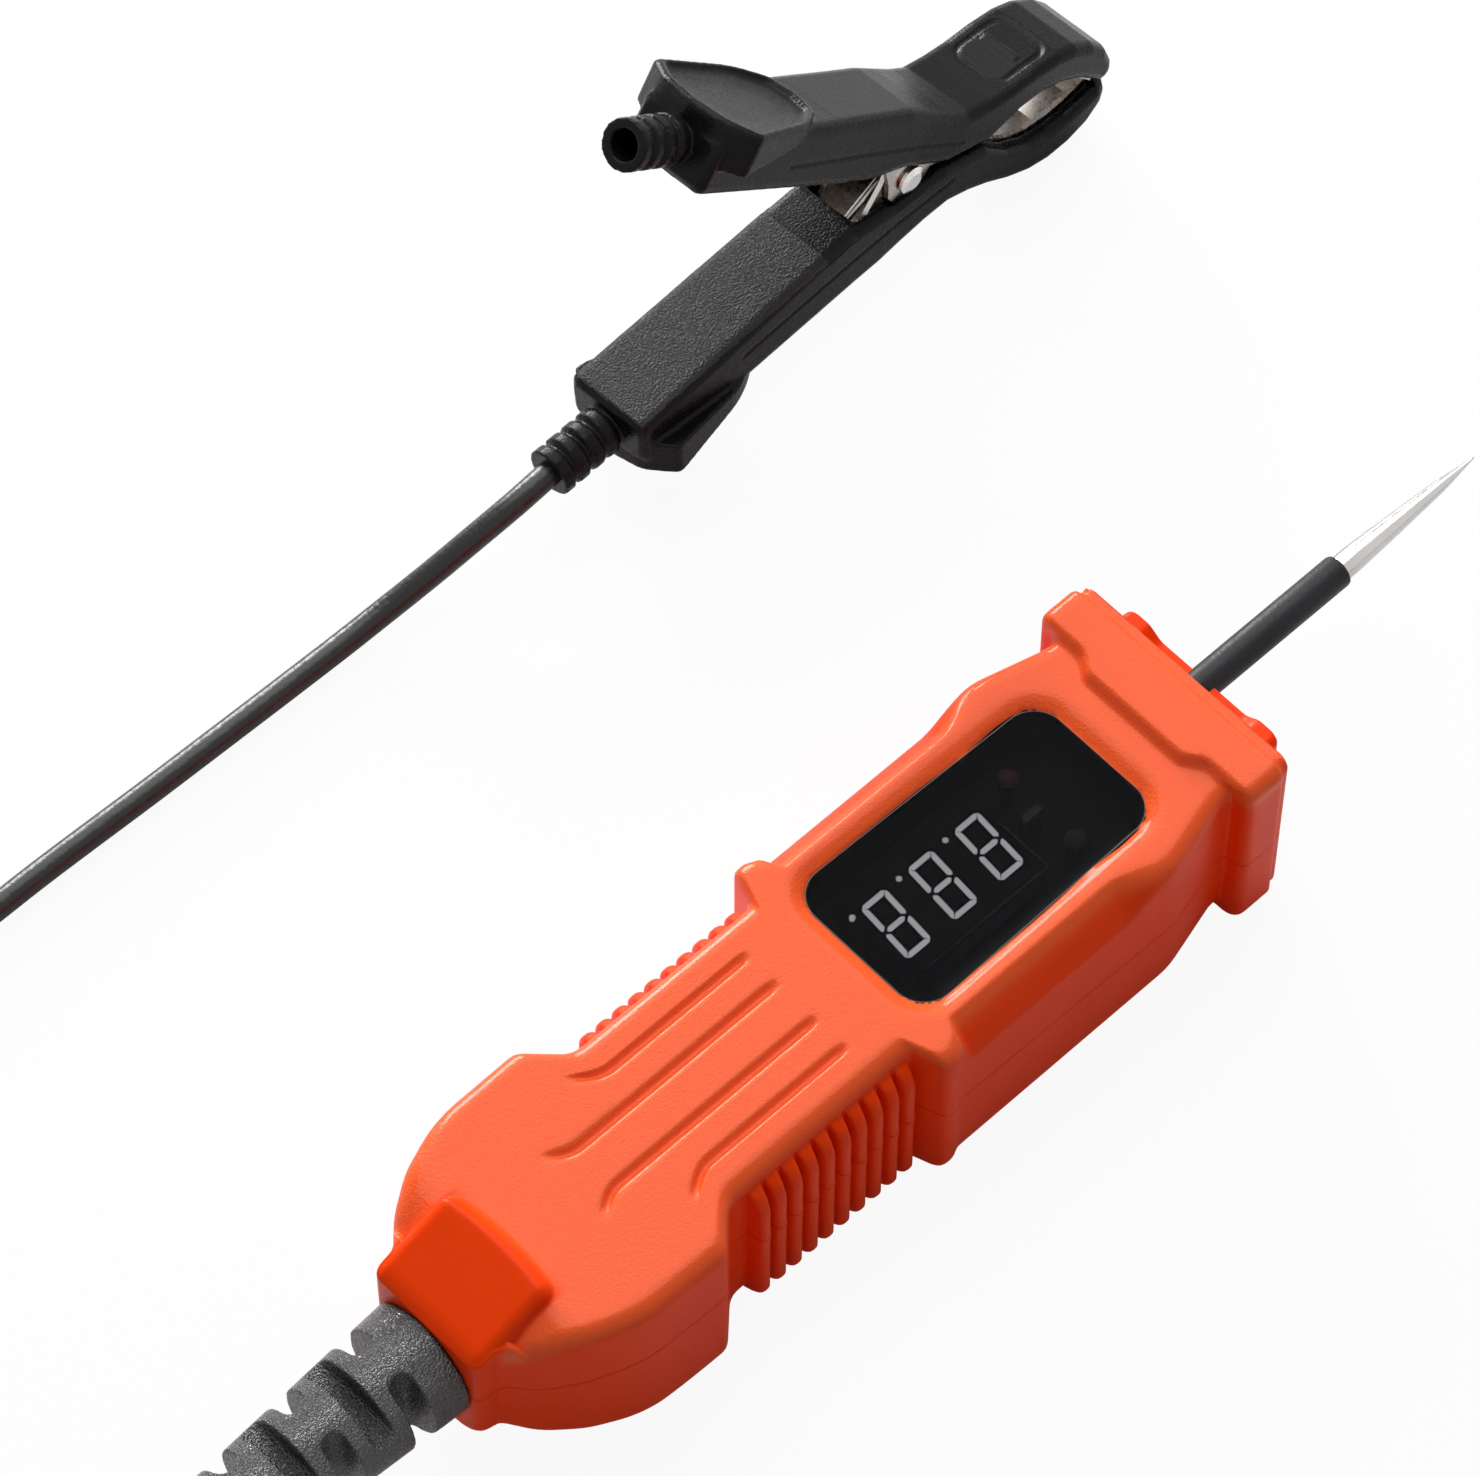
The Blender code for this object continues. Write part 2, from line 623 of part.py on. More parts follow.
def collar_sections(upper):
    """Sections of the collar along X, as a rounded arch above or below the parting plane."""
    stations = [(COLLAR_FRONT_X, CASE_TOP - 0.6 * MM, 1.6 * MM),
                (COLLAR_FRONT_X - 0.9 * MM, COLLAR_RIDGE_TOP - 0.8 * MM, 0.7 * MM),
                (COLLAR_RIDGE_X + 0.6 * MM, COLLAR_RIDGE_TOP, 0.1 * MM),
                (COLLAR_RIDGE_X - 0.8 * MM, collar_top(COLLAR_RIDGE_X - 0.8 * MM), 0.0),
                (COLLAR_REAR_X + 0.8 * MM, collar_top(COLLAR_REAR_X + 0.8 * MM), 0.0),
                (COLLAR_REAR_X, COLLAR_REAR_TOP - 0.5 * MM, 0.7 * MM)]
    sections = []
    for x, top, inset in stations:
        half = COLLAR_HALF - inset
        flat = PARTING_TAIL + GAP / 2 if upper else PARTING_TAIL - GAP / 2
        end = top if upper else back_height(x) + inset
        toward = -1 if upper else 1
        side = [(half, flat)]
        for step in range(4):
            angle = math.pi / 2 * step / 3
            side.append((half - COLLAR_CORNER * (1 - math.cos(angle)),
                         end + toward * COLLAR_CORNER * (1 - math.sin(angle))))
        sections.append([(x, -y, z) for y, z in reversed(side)] + [(x, y, z) for y, z in side])
    return sections


def cavity_plan():
    """Inside of the case, one wall in from the body's outline."""
    return mirrored_plan([
        (TAB_REAR_X, NECK_HALF - WALL),
        (HEAD_FRONT_X, HEAD_HALF - WALL - 0.6 * MM),
        (SHOULDER_FRONT_X, HEAD_HALF - WALL - 0.6 * MM),
        (SHOULDER_FRONT_X - WALL, GRIP_HALF - WALL),
        (GRIP_REAR_X - WALL, GRIP_HALF - WALL),
        (BULGE_FRONT_X - WALL, BULGE_HALF - WALL - 1.2 * MM),
        (BULGE_TAPER_X + 4 * MM, BULGE_TAPER_HALF - WALL - 1.2 * MM),
        (BULGE_TAPER_X - 6 * MM, BULGE_TAPER_HALF - 5.6 * MM - WALL - 1.2 * MM),
        (COLLAR_REAR_X + COLLAR_WALL, COLLAR_HALF - WALL),
    ])


def window_outline(grow):
    """Window outline with its corners, grown by some width on every side."""
    front = WINDOW_FRONT_X + grow
    rear = WINDOW_REAR_X - grow
    front_half = WINDOW_FRONT_WIDTH / 2 + grow
    rear_half = WINDOW_REAR_WIDTH / 2 + grow
    radius = WINDOW_CORNER + grow
    return [tuple(point) for point in rounded_path([
        (front, front_half, radius), (rear, rear_half, radius),
        (rear, -rear_half, radius), (front, -front_half, radius)], segments=4)]


def bezel_sections():
    """The sloping bezel: a cove from the window's edge up to the deck."""
    sections = []
    face = CASE_TOP - WINDOW_SINK
    for step in range(4):
        angle = math.pi / 2 * step / 3
        grow = GAP + BEZEL_FLARE * (1 - math.cos(angle))
        height = face + WINDOW_SINK * math.sin(angle)
        sections.append([(x, y, height) for x, y in window_outline(grow)])
    top = [(x, y, CASE_TOP + WALL) for x, y in window_outline(GAP + BEZEL_FLARE * 1.05)]
    return sections + [top]


def screw_points():
    return [(x, side * y) for x, y in SCREW_PLACES for side in (1, -1)]


def groove_cutter(side, half, straight_x, end_half, end_x, name):
    """A groove's round bar, sunk in the deck, with its rear end curving outwards."""
    radius = (GROOVE_WIDTH ** 2 / 4 + GROOVE_DEPTH ** 2) / (2 * GROOVE_DEPTH)
    height = CASE_TOP + radius - GROOVE_DEPTH
    fade = height + GROOVE_DEPTH
    route = smooth_route([
        (GROOVE_FRONT_X, side * half, fade),
        (GROOVE_FRONT_X - 2.5 * MM, side * half, height),
        (straight_x + 3 * MM, side * half, height),
        (straight_x - 1.5 * MM, side * (half + 0.35 * (end_half - half)), height),
        (end_x, side * end_half, fade)], 3.2 * MM)
    curve = bpy.data.curves.new(name, "CURVE")
    curve.dimensions = "3D"
    curve.bevel_depth = radius
    curve.bevel_resolution = 3
    curve.use_fill_caps = True
    spline = curve.splines.new("POLY")
    spline.points.add(len(route) - 1)
    for slot, point in zip(spline.points, route):
        slot.co = (*point, 1.0)
    mesh = evaluated_mesh(bpy.data.objects.new(name, curve))
    bm = bmesh.new()
    bm.from_mesh(mesh)
    bmesh.ops.remove_doubles(bm, verts=bm.verts, dist=0.01 * MM)
    bm.to_mesh(mesh)
    bm.free()
    return mesh


def build_upper_shell(tester, plastic):
    stations = body_stations()
    shell = place("upper_shell", loft("upper_shell", [upper_section(*s) for s in stations]),
                  plastic, tester)
    flat = PARTING_FRONT + GAP / 2
    flange_top = CASE_TOP + FLANGE_RISE
    add(shell,
        tool("flange_upper", prism("flange_upper", flange_plan(), flat, flange_top, FLANGE_EDGE),
             tester),
        tool("lip_upper", prism("lip_upper", lip_plan(), flat, flange_top - LIP_DROP, 0.6 * MM),
             tester),
        tool("nose_upper", loft("nose_upper", nose_sections(flat, 0.0, 1)), tester),
        tool("collar_upper", loft("collar_upper", collar_sections(True)), tester))
    cut(shell, tool("cavity_upper", prism("cavity_upper", cavity_plan(), PARTING_FRONT - WALL,
                                          CASE_TOP - WALL), tester))
    frame_low = CASE_TOP - WINDOW_SINK - WINDOW_THICK - GAP - FRAME_BELOW
    bosses = [cylinder("boss", SCREW_RADIUS + BOSS_WALL, parting(point[0]) + GAP / 2,
                       CASE_TOP - WALL / 2, point) for point in screw_points()]
    add(shell,
        tool("window_frame", prism("window_frame", window_outline(GAP + FRAME_WALL), frame_low,
                                   CASE_TOP - WALL / 2), tester),
        tool("upper_bosses", merged("upper_bosses", bosses), tester))
    pocket_low = CASE_TOP - WINDOW_SINK - WINDOW_THICK - GAP
    pilots = [cylinder("pilot", SCREW_RADIUS + GAP, PARTING_FRONT - WALL,
                       SCREW_RECESS + SCREW_HEAD_HEIGHT + SCREW_LENGTH + 1.0 * MM, point)
              for point in screw_points()]
    cut(shell,
        tool("bezel", loft("bezel", bezel_sections()), tester),
        tool("window_pocket", prism("window_pocket", window_outline(GAP), pocket_low, CASE_TOP),
             tester),
        tool("window_opening", prism("window_opening", window_outline(-LEDGE),
                                     frame_low - WALL, CASE_TOP), tester),
        tool("pilot_holes", merged("pilot_holes", pilots), tester))
    grooves = [groove_cutter(side, *groove, f"groove_{side}_{index}")
               for index, groove in enumerate(GROOVES) for side in (1, -1)]
    cut(shell, tool("grooves", merged("grooves", grooves), tester))
    return shell


def build_lower_shell(tester, plastic):
    shell = place("lower_shell", loft("lower_shell", [lower_section(*s)
                                                      for s in body_stations()]), plastic, tester)
    flat = PARTING_FRONT - GAP / 2
    turn_over = Matrix.Translation((0, 0, flat)) @ Matrix.Diagonal((1, 1, -1, 1))
    add(shell,
        tool("flange_lower", transformed(prism("flange_lower", flange_plan(), 0, flat,
                                               FLANGE_EDGE), turn_over), tester),
        tool("lip_lower", transformed(prism("lip_lower", lip_plan(), 0, flat - LIP_DROP,
                                            0.6 * MM), turn_over), tester),
        tool("nose_lower", transformed(loft("nose_lower", nose_sections(
            0.0, flat - 4 * MM - NOSE_TOP, -1)), turn_over), tester),
        tool("collar_lower", loft("collar_lower", collar_sections(False)), tester))
    floor = [[(x, y, WALL + back_height(x)) for x, y in cavity_plan()],
             [(x, y, PARTING_TAIL + WALL) for x, y in cavity_plan()]]
    cut(shell, tool("cavity_lower", loft("cavity_lower", floor), tester))
    board_low = BOARD_TOP - BOARD_THICK
    posts = [cylinder("post", POST_RADIUS, WALL / 2, board_low - GAP, (x, side * y))
             for x, y in POSTS for side in (1, -1)]
    bosses = [cylinder("boss", SCREW_HEAD_RADIUS + GAP + BOSS_WALL, WALL / 2,
                       parting(point[0]) - GAP / 2, point) for point in screw_points()]
    add(shell, tool("board_posts", merged("board_posts", posts), tester),
        tool("lower_bosses", merged("lower_bosses", bosses), tester))
    holes = [cylinder("hole", SCREW_RADIUS + GAP, -WALL, PARTING_TAIL + WALL, point)
             for point in screw_points()]
    recesses = [cylinder("recess", SCREW_HEAD_RADIUS + GAP, -WALL,
                         SCREW_RECESS + SCREW_HEAD_HEIGHT, point) for point in screw_points()]
    cut(shell, tool("screw_holes", merged("screw_holes", holes), tester),
        tool("screw_recesses", merged("screw_recesses", recesses), tester))
    return shell


def cut_shell_bores(upper, lower, tester):
    """Seats of the probe and of the strain relief, half in each shell."""
    rod_bore = ROD_RADIUS + GAP
    sleeve_bore = ROD_RADIUS + SLEEVE_WALL + GAP
    probe = tool("probe_bore", transformed(turned("probe_bore", [
        (TAB_REAR_X - WALL, rod_bore), (SLEEVE_REAR_X - GAP, rod_bore),
        (SLEEVE_REAR_X - GAP, sleeve_bore), (NOSE_FRONT_X + WALL, sleeve_bore)], 20),
        Matrix.Translation((0, 0, PROBE_Z))), tester)
    neck = tool("boot_bore", transformed(turned("boot_bore", [
        (COLLAR_REAR_X - WALL, BOOT_NECK_RADIUS + GAP),
        (COLLAR_REAR_X + COLLAR_WALL + WALL, BOOT_NECK_RADIUS + GAP)], 28),
        Matrix.Translation((0, 0, PARTING_TAIL))), tester)
    cut(upper, probe, neck)
    cut(lower, neck)


# Window, board and electronics

def build_window(tester, glass):
    low = CASE_TOP - WINDOW_SINK - WINDOW_THICK
    place("display_window", prism("display_window", window_outline(0.0), low,
                                  CASE_TOP - WINDOW_SINK, 0.25 * MM, 2), glass, tester)


def digit_segments(name, middle_x, low, high):
    """The seven bars and the point of one digit. Its top points to -Y."""
    half_w, half_h = DIGIT_WIDTH / 2, DIGIT_HEIGHT / 2
    thick, gap = SEGMENT_WIDTH, SEGMENT_GAP
    bars = []
    for across in (-half_h + thick / 2, 0.0, half_h - thick / 2):
        bars.append((Vector((-half_w + thick / 2 + gap, across)),
                     Vector((half_w - thick / 2 - gap, across))))
    for along in (-half_w + thick / 2, half_w - thick / 2):
        for start, end in ((-half_h + thick / 2 + gap, -gap), (gap, half_h - thick / 2 - gap)):
            bars.append((Vector((along, start)), Vector((along, end))))
    meshes = []
    for start, end in bars:
        run = (end - start).normalized()
        across = Vector((-run.y, run.x)) * thick / 2
        nib = run * thick / 2
        outline = [start, start + nib + across, end - nib + across, end,
                   end - nib - across, start + nib - across]
        outline = [(middle_x + p.x - DIGIT_SLANT * p.y, MODULE_Y + p.y) for p in outline]
        meshes.append(prism(name, outline, low, high))
    point = (middle_x - half_w * 0.6, MODULE_Y + half_h + POINT_Y - 2 * POINT_RADIUS)
    meshes.append(cylinder(name, POINT_RADIUS, low, high, point, 10))
    return meshes


def build_module(tester, resin):
    low = BOARD_TOP + GAP
    high = CASE_TOP - WINDOW_SINK - WINDOW_THICK - GAP - SEGMENT_RISE
    half_l, half_w = MODULE_LENGTH / 2, MODULE_WIDTH / 2
    module = place("display_module", box("display_module",
                                         (MODULE_X - half_l, MODULE_Y - half_w, low),
                                         (MODULE_X + half_l, MODULE_Y + half_w, high)),
                   resin, tester)
    segments = []
    for index in range(DIGIT_COUNT):
        middle_x = DIGIT_FIRST_X + index * DIGIT_PITCH
        segments += digit_segments("segments", middle_x, high - WALL / 4, high + SEGMENT_RISE)
    add(module, tool("segments", merged("segments", segments), tester))


def build_board(tester, laminate, chip_plastic, buzzer_plastic):
    low = BOARD_TOP - BOARD_THICK
    place("circuit_board", box("circuit_board", (BOARD_REAR_X, -BOARD_HALF, low),
                               (BOARD_FRONT_X, BOARD_HALF, BOARD_TOP)), laminate, tester)
    length, width, height = CHIP_SIZE
    place("controller_chip", box("controller_chip",
                                 (CHIP_X - length / 2, -width / 2, BOARD_TOP + GAP),
                                 (CHIP_X + length / 2, width / 2, BOARD_TOP + GAP + height)),
          chip_plastic, tester)
    place("buzzer", cylinder("buzzer", BUZZER_RADIUS, BOARD_TOP + GAP,
                             BOARD_TOP + GAP + BUZZER_HEIGHT, (BUZZER_X, 0.0), 24),
          buzzer_plastic, tester)


def build_indicators(tester, red, green, clear):
    """Two round lamps and the bar lamp, standing on the board under the window."""
    low = BOARD_TOP + GAP
    high = CASE_TOP - WINDOW_SINK - WINDOW_THICK - GAP
    dome = LED_RADIUS
    profile = [(0.0, LED_RADIUS + LED_RIM), (1.0 * MM, LED_RADIUS + LED_RIM),
               (1.0 * MM, LED_RADIUS), (high - low - dome, LED_RADIUS)]
    profile += [(high - low - dome + dome * math.sin(angle), dome * math.cos(angle))
                for angle in (math.pi / 2 * step / 4 for step in range(1, 4))]
    profile.append((high - low, 0.05 * MM))
    upright = Matrix.Rotation(-math.pi / 2, 4, "Y")
    for name, side, material in (("led_red", 1, red), ("led_green", -1, green)):
        place(name, transformed(turned(name, profile, 16), upright), material, tester,
              (LED_X, side * LED_Y, low))
    length, width = BAR_SIZE
    place("led_bar", box("led_bar", (BAR_X - length / 2, -width / 2, low),
                         (BAR_X + length / 2, width / 2, high)), clear, tester)


# Screws, probe and inner leads

def build_screws(tester, steel):
    top = SCREW_RECESS + SCREW_HEAD_HEIGHT - GAP
    profile = [(0.0, SCREW_HEAD_RADIUS * 0.8), (0.4 * MM, SCREW_HEAD_RADIUS),
               (SCREW_HEAD_HEIGHT, SCREW_HEAD_RADIUS), (SCREW_HEAD_HEIGHT, SCREW_RADIUS),
               (SCREW_HEAD_HEIGHT + SCREW_LENGTH - 1.2 * MM, SCREW_RADIUS),
               (SCREW_HEAD_HEIGHT + SCREW_LENGTH, 0.4 * MM)]
    upright = Matrix.Rotation(-math.pi / 2, 4, "Y")
    for index, (x, y) in enumerate(screw_points()):
        name = f"case_screw_{index + 1}"
        screw = place(name, transformed(turned(name, profile, 16), upright), steel, tester,
                      (x, y, top - SCREW_HEAD_HEIGHT))
        arm = SCREW_HEAD_RADIUS * 0.62
        slot = merged(name + "_cross", [
            box("bar", (x - arm, y - 0.3 * MM, -1 * MM + top - SCREW_HEAD_HEIGHT),
                (x + arm, y + 0.3 * MM, top - SCREW_HEAD_HEIGHT + 0.9 * MM))])
        cross = merged(name + "_cross_b", [
            box("bar", (x - 0.3 * MM, y - arm, -1 * MM + top - SCREW_HEAD_HEIGHT),
                (x + 0.3 * MM, y + arm, top - SCREW_HEAD_HEIGHT + 0.9 * MM))])
        cut(screw, tool(name + "_slot", slot, tester), tool(name + "_slot_b", cross, tester))


def build_probe(tester, steel, sleeve_plastic, brass):
    rod = [(ROD_REAR_X, ROD_RADIUS - 0.3 * MM), (ROD_REAR_X + 0.3 * MM, ROD_RADIUS),
           (ROD_TAPER_X, ROD_RADIUS), (ROD_KNEE_X, ROD_KNEE_RADIUS),
           (ROD_TIP_X, ROD_TIP_RADIUS)]
    place("probe_rod", turned("probe_rod", rod, 24), steel, tester, (0, 0, PROBE_Z))
    inner, outer = ROD_RADIUS, ROD_RADIUS + SLEEVE_WALL
    sleeve = place("probe_sleeve", turned("probe_sleeve", [
        (SLEEVE_REAR_X, outer), (SLEEVE_FRONT_X - 0.3 * MM, outer),
        (SLEEVE_FRONT_X, outer - 0.25 * MM)], 24), sleeve_plastic, tester, (0, 0, PROBE_Z))
    cut(sleeve, tool("sleeve_bore", transformed(turned("sleeve_bore", [
        (SLEEVE_REAR_X - WALL, inner + 0.02 * MM), (SLEEVE_FRONT_X + WALL, inner + 0.02 * MM)], 24),
        Matrix.Translation((0, 0, PROBE_Z))), tester))
    front = TAB_REAR_X - GAP
    terminal = place("probe_terminal", turned("probe_terminal", [
        (front - TERMINAL_LENGTH, TERMINAL_RADIUS - 0.3 * MM),
        (front - TERMINAL_LENGTH + 0.3 * MM, TERMINAL_RADIUS),
        (front, TERMINAL_RADIUS)], 20), brass, tester, (0, 0, PROBE_Z))
    cut(terminal, tool("terminal_bore", transformed(turned("terminal_bore", [
        (front - TERMINAL_LENGTH - WALL, ROD_RADIUS + GAP), (front + WALL, ROD_RADIUS + GAP)], 20),
        Matrix.Translation((0, 0, PROBE_Z))), tester))


def build_inner_leads(tester, insulation):
    """Short wires from the board to the probe's terminal and to the earth lead."""
    terminal_x = TAB_REAR_X - GAP - TERMINAL_LENGTH / 2
    terminal_low = PROBE_Z - TERMINAL_RADIUS - GAP
    rest = BOARD_TOP + GAP + LEAD_RADIUS
    probe_lead = smooth_route([
        (terminal_x, 0, terminal_low),
        (terminal_x, 0, terminal_low - 1.2 * LEAD_RADIUS),
        (terminal_x - 2 * LEAD_RADIUS, 0, rest + LEAD_RADIUS / 3),
        (BOARD_FRONT_X - 1.5 * LEAD_RADIUS, 0, rest),
        (BOARD_FRONT_X - 6 * LEAD_RADIUS, 0, rest)], 2 * LEAD_RADIUS)
    wire("probe_lead", probe_lead, LEAD_RADIUS, insulation, tester)
    inner_face = COLLAR_REAR_X + COLLAR_WALL + 2 * GAP + BOOT_FLANGE_THICK
    room = BOARD_REAR_X - inner_face
    earth_lead = smooth_route([
        (inner_face, 0, PARTING_TAIL), (inner_face + 0.14 * room, 0, PARTING_TAIL),
        (inner_face + 0.5 * room, 5 * LEAD_RADIUS, PARTING_TAIL + 0.6 * LEAD_RADIUS),
        (inner_face + 0.83 * room, 2.5 * LEAD_RADIUS, rest - 1.2 * LEAD_RADIUS),
        (BOARD_REAR_X + LEAD_RADIUS, 0, rest + LEAD_RADIUS / 4),
        (BOARD_REAR_X + 6 * LEAD_RADIUS, 0, rest)], 3 * LEAD_RADIUS)
    wire("earth_lead", earth_lead, LEAD_RADIUS, insulation, tester)


# Strain relief and lead

def boot_radius(along):
    """Radius of the tapering boot at a distance from the collar."""
    share = along / BOOT_LENGTH
    return BOOT_ROOT_RADIUS + (BOOT_END_RADIUS - BOOT_ROOT_RADIUS) * share


def build_boot(tester, rubber):
    face = COLLAR_REAR_X - GAP
    inner = COLLAR_REAR_X + COLLAR_WALL + GAP
    end = face - BOOT_LENGTH
    nose = 1.6 * MM
    profile = [(inner + BOOT_FLANGE_THICK, BOOT_FLANGE_RADIUS), (inner, BOOT_FLANGE_RADIUS),
               (inner, BOOT_NECK_RADIUS), (face, BOOT_NECK_RADIUS), (face, BOOT_ROOT_RADIUS)]
    profile += [(face - along, boot_radius(along))
                for along in (BOOT_LENGTH * 0.25, BOOT_LENGTH * 0.5, BOOT_LENGTH * 0.75)]
    profile += [(end + nose * (1 - math.sin(angle)), boot_radius(BOOT_LENGTH) - nose
                 + nose * math.cos(angle)) for angle in (0.0, math.pi / 4, math.pi / 2)]
    boot = place("strain_relief", turned("strain_relief", profile, 32), rubber, tester,
                 (0, 0, PARTING_TAIL))
    slots = []
    for index in range(SLOT_COUNT):
        middle = face - SLOT_FIRST - index * SLOT_PITCH
        reach = BOOT_ROOT_RADIUS + 1 * MM
        for sign in (1, -1):
            core, outside = sorted((sign * SLOT_CORE, sign * reach))
            low, high = (core, -reach), (outside, reach)
            if index % 2:
                low, high = (-reach, core), (reach, outside)
            slots.append(box("slot", (middle - SLOT_WIDTH / 2, low[0], low[1] + PARTING_TAIL),
                             (middle + SLOT_WIDTH / 2, high[0], high[1] + PARTING_TAIL)))
    cut(boot, tool("boot_slots", merged("boot_slots", slots), tester))


def coil_size():
    """Outer and inner radius of the coil and its lowest and highest point."""
    half = COIL_RINGS * CORD_RADIUS
    low = TIE_THICK + GAP
    return COIL_MEAN_RADIUS + half, COIL_MEAN_RADIUS - half, low, low + COIL_LAYERS * 2 * CORD_RADIUS


def build_lead(tester, vinyl, strap):
    outer, inner, low, high = coil_size()
    corner = CORD_RADIUS
    loop = [(low + corner, outer), (high - corner, outer), (high, outer - corner),
            (high, inner + corner), (high - corner, inner), (low + corner, inner),
            (low, inner + corner), (low, outer - corner)]
    upright = Matrix.Rotation(-math.pi / 2, 4, "Y")
    place("cord_coil", transformed(turned("cord_coil", loop, 32, True), upright), vinyl, tester,
          (COIL_X, COIL_Y, 0))

    inside = math.sqrt((inner - GAP) ** 2 - TIE_WIDTH ** 2 / 4)
    tie = place("cord_tie", box("cord_tie", (inside - TIE_THICK, -TIE_WIDTH / 2, 0.0),
                                (outer + GAP + TIE_THICK, TIE_WIDTH / 2,
                                 high + GAP + TIE_THICK)), strap, tester,
                (COIL_X, COIL_Y, 0), (0, 0, math.radians(TIE_ANGLE)))
    opening = transformed(box("tie_opening", (inside, -TIE_WIDTH, low - GAP),
                              (outer + GAP, TIE_WIDTH, high + GAP)),
                          Matrix.Translation((COIL_X, COIL_Y, 0))
                          @ Matrix.Rotation(math.radians(TIE_ANGLE), 4, "Z"))
    cut(tie, tool("tie_opening", opening, tester))

    bench = CORD_RADIUS + 0.05 * MM
    enter = 13.8 * MM         # a tangent run meets the coil's skin this far from its tangent point
    rear = smooth_route([
        (BOOT_REAR_X - GAP, 0, PARTING_TAIL),
        (BOOT_REAR_X - 8 * MM, 0, PARTING_TAIL - 0.8 * MM),
        (BOOT_REAR_X - 18 * MM, 0, PARTING_TAIL - 5.0 * MM),
        (BOOT_REAR_X - 28 * MM, 0, low + CORD_RADIUS + 1.6 * MM),
        (BOOT_REAR_X - 38 * MM, 0, low + CORD_RADIUS),
        (COIL_X + enter, 0, low + CORD_RADIUS)], 2.5 * CORD_RADIUS * 2)
    wire("cord_rear", rear, CORD_RADIUS, vinyl, tester)
    exit_y = COIL_Y + COIL_MEAN_RADIUS + (COIL_RINGS - 1) * CORD_RADIUS
    upper = high - CORD_RADIUS
    reach = STUB_LENGTH + 1.5 * GAP
    stub = (Matrix.Translation((CLIP_X, CLIP_Y, CLIP_LIFT))
            @ Matrix.Rotation(math.radians(CLIP_YAW), 4, "Z")
            @ Matrix.Rotation(math.radians(-CLIP_ROLL), 4, "X"))
    front = smooth_route([
        (COIL_X + enter, exit_y, upper),
        (COIL_X + enter + 10 * MM, exit_y + 0.8 * MM, upper - 1.8 * MM),
        (COIL_X + enter + 20 * MM, exit_y + 3.4 * MM, bench),
        (COIL_X + 52 * MM, exit_y + 14.5 * MM, bench),
        (COIL_X + 76 * MM, exit_y + 29.0 * MM, bench),
        (-101 * MM, 88.2 * MM, bench),
        (-82 * MM, 89.4 * MM, bench),
        (-56 * MM, 88.9 * MM, bench),
        (-30 * MM, 88.5 * MM, bench),
        (-20 * MM, 88.0 * MM, bench + 1.0 * MM),
        (-12.5 * MM, 86.6 * MM, STUB_Z - 5.4 * MM),
        (-5 * MM, 85.2 * MM, STUB_Z - 2.0 * MM),
        stub @ Vector((-reach - 5 * MM, 0, STUB_Z - 0.3 * MM)),
        stub @ Vector((-reach, 0, STUB_Z))], 2.5 * CORD_RADIUS * 2)
    wire("cord_front", front, CORD_RADIUS, vinyl, tester)


# Earth clip

BISECTOR = math.atan2(TIP_Z - PIVOT_Z, TIP_U - PIVOT_U)


def clip_mirror():
    """Reflect the lower half of the clip in the plane through its pivot and its tip."""
    pivot = Matrix.Translation((PIVOT_U, 0, PIVOT_Z))
    tilt = Matrix.Rotation(-BISECTOR, 4, "Y")
    flip = Matrix.Diagonal((1, 1, -1, 1))
    return pivot @ tilt @ flip @ tilt.inverted() @ pivot.inverted()


def mating_z(u):
    """Height of the plane in which the closed jaws meet."""
    return PIVOT_Z + (u - PIVOT_U) * math.tan(BISECTOR)


def mouth(u):
    """Half height of the open mouth behind the tip."""
    if not MOUTH_REAR_U < u < MOUTH_FRONT_U:
        return 0.0
    share = (u - MOUTH_REAR_U) / (MOUTH_FRONT_U - MOUTH_REAR_U)
    return MOUTH_DEPTH / math.cos(BISECTOR) * math.sin(math.pi * share ** 0.71) ** 0.7


def grip_stations():
    """Lower grip along u: outer height, inner height and half width."""
    inner = HANDLE_INNER_Z + HANDLE_SWELL
    front = HANDLE_FRONT_HALF
    stations = [(0.0, HANDLE_OUTER_Z + 1.0 * MM, HANDLE_INNER_Z - 1.0 * MM,
                 HANDLE_REAR_HALF - 0.8 * MM),
                (0.8 * MM, HANDLE_OUTER_Z, HANDLE_INNER_Z, HANDLE_REAR_HALF),
                (20 * MM, HANDLE_OUTER_Z, HANDLE_INNER_Z + HANDLE_SWELL / 2,
                 (HANDLE_REAR_HALF + front) / 2),
                (40 * MM, HANDLE_OUTER_Z, inner, front),
                (44 * MM, HANDLE_OUTER_Z, inner - 0.8 * MM, front),
                (48 * MM, HANDLE_OUTER_Z + 0.4 * MM, inner - 1.5 * MM, front),
                (53 * MM, HANDLE_OUTER_Z + 1.1 * MM, inner - 1.5 * MM, front + 0.2 * MM)]
    outer_edge = {57: 1.3, 61: -0.2, 64.5: -2.0, 68.5: -4.6, 72.5: -6.6, 76: -7.5, 80: -7.6,
                  83.5: -6.8, 86: -5.1}
    for u, drop in outer_edge.items():
        u *= MM
        stations.append((u, HANDLE_OUTER_Z + drop * MM, mating_z(u) - JAW_PROUD - mouth(u),
                         JAW_HALF))
    stations.append((TIP_U - 0.7 * MM, TIP_Z - 2.6 * MM, mating_z(TIP_U - 0.7 * MM) - JAW_PROUD,
                     JAW_HALF - 0.5 * MM))
    stations.append((TIP_U, TIP_Z - 1.2 * MM, TIP_Z - JAW_PROUD, JAW_HALF - 1.5 * MM))
    return stations


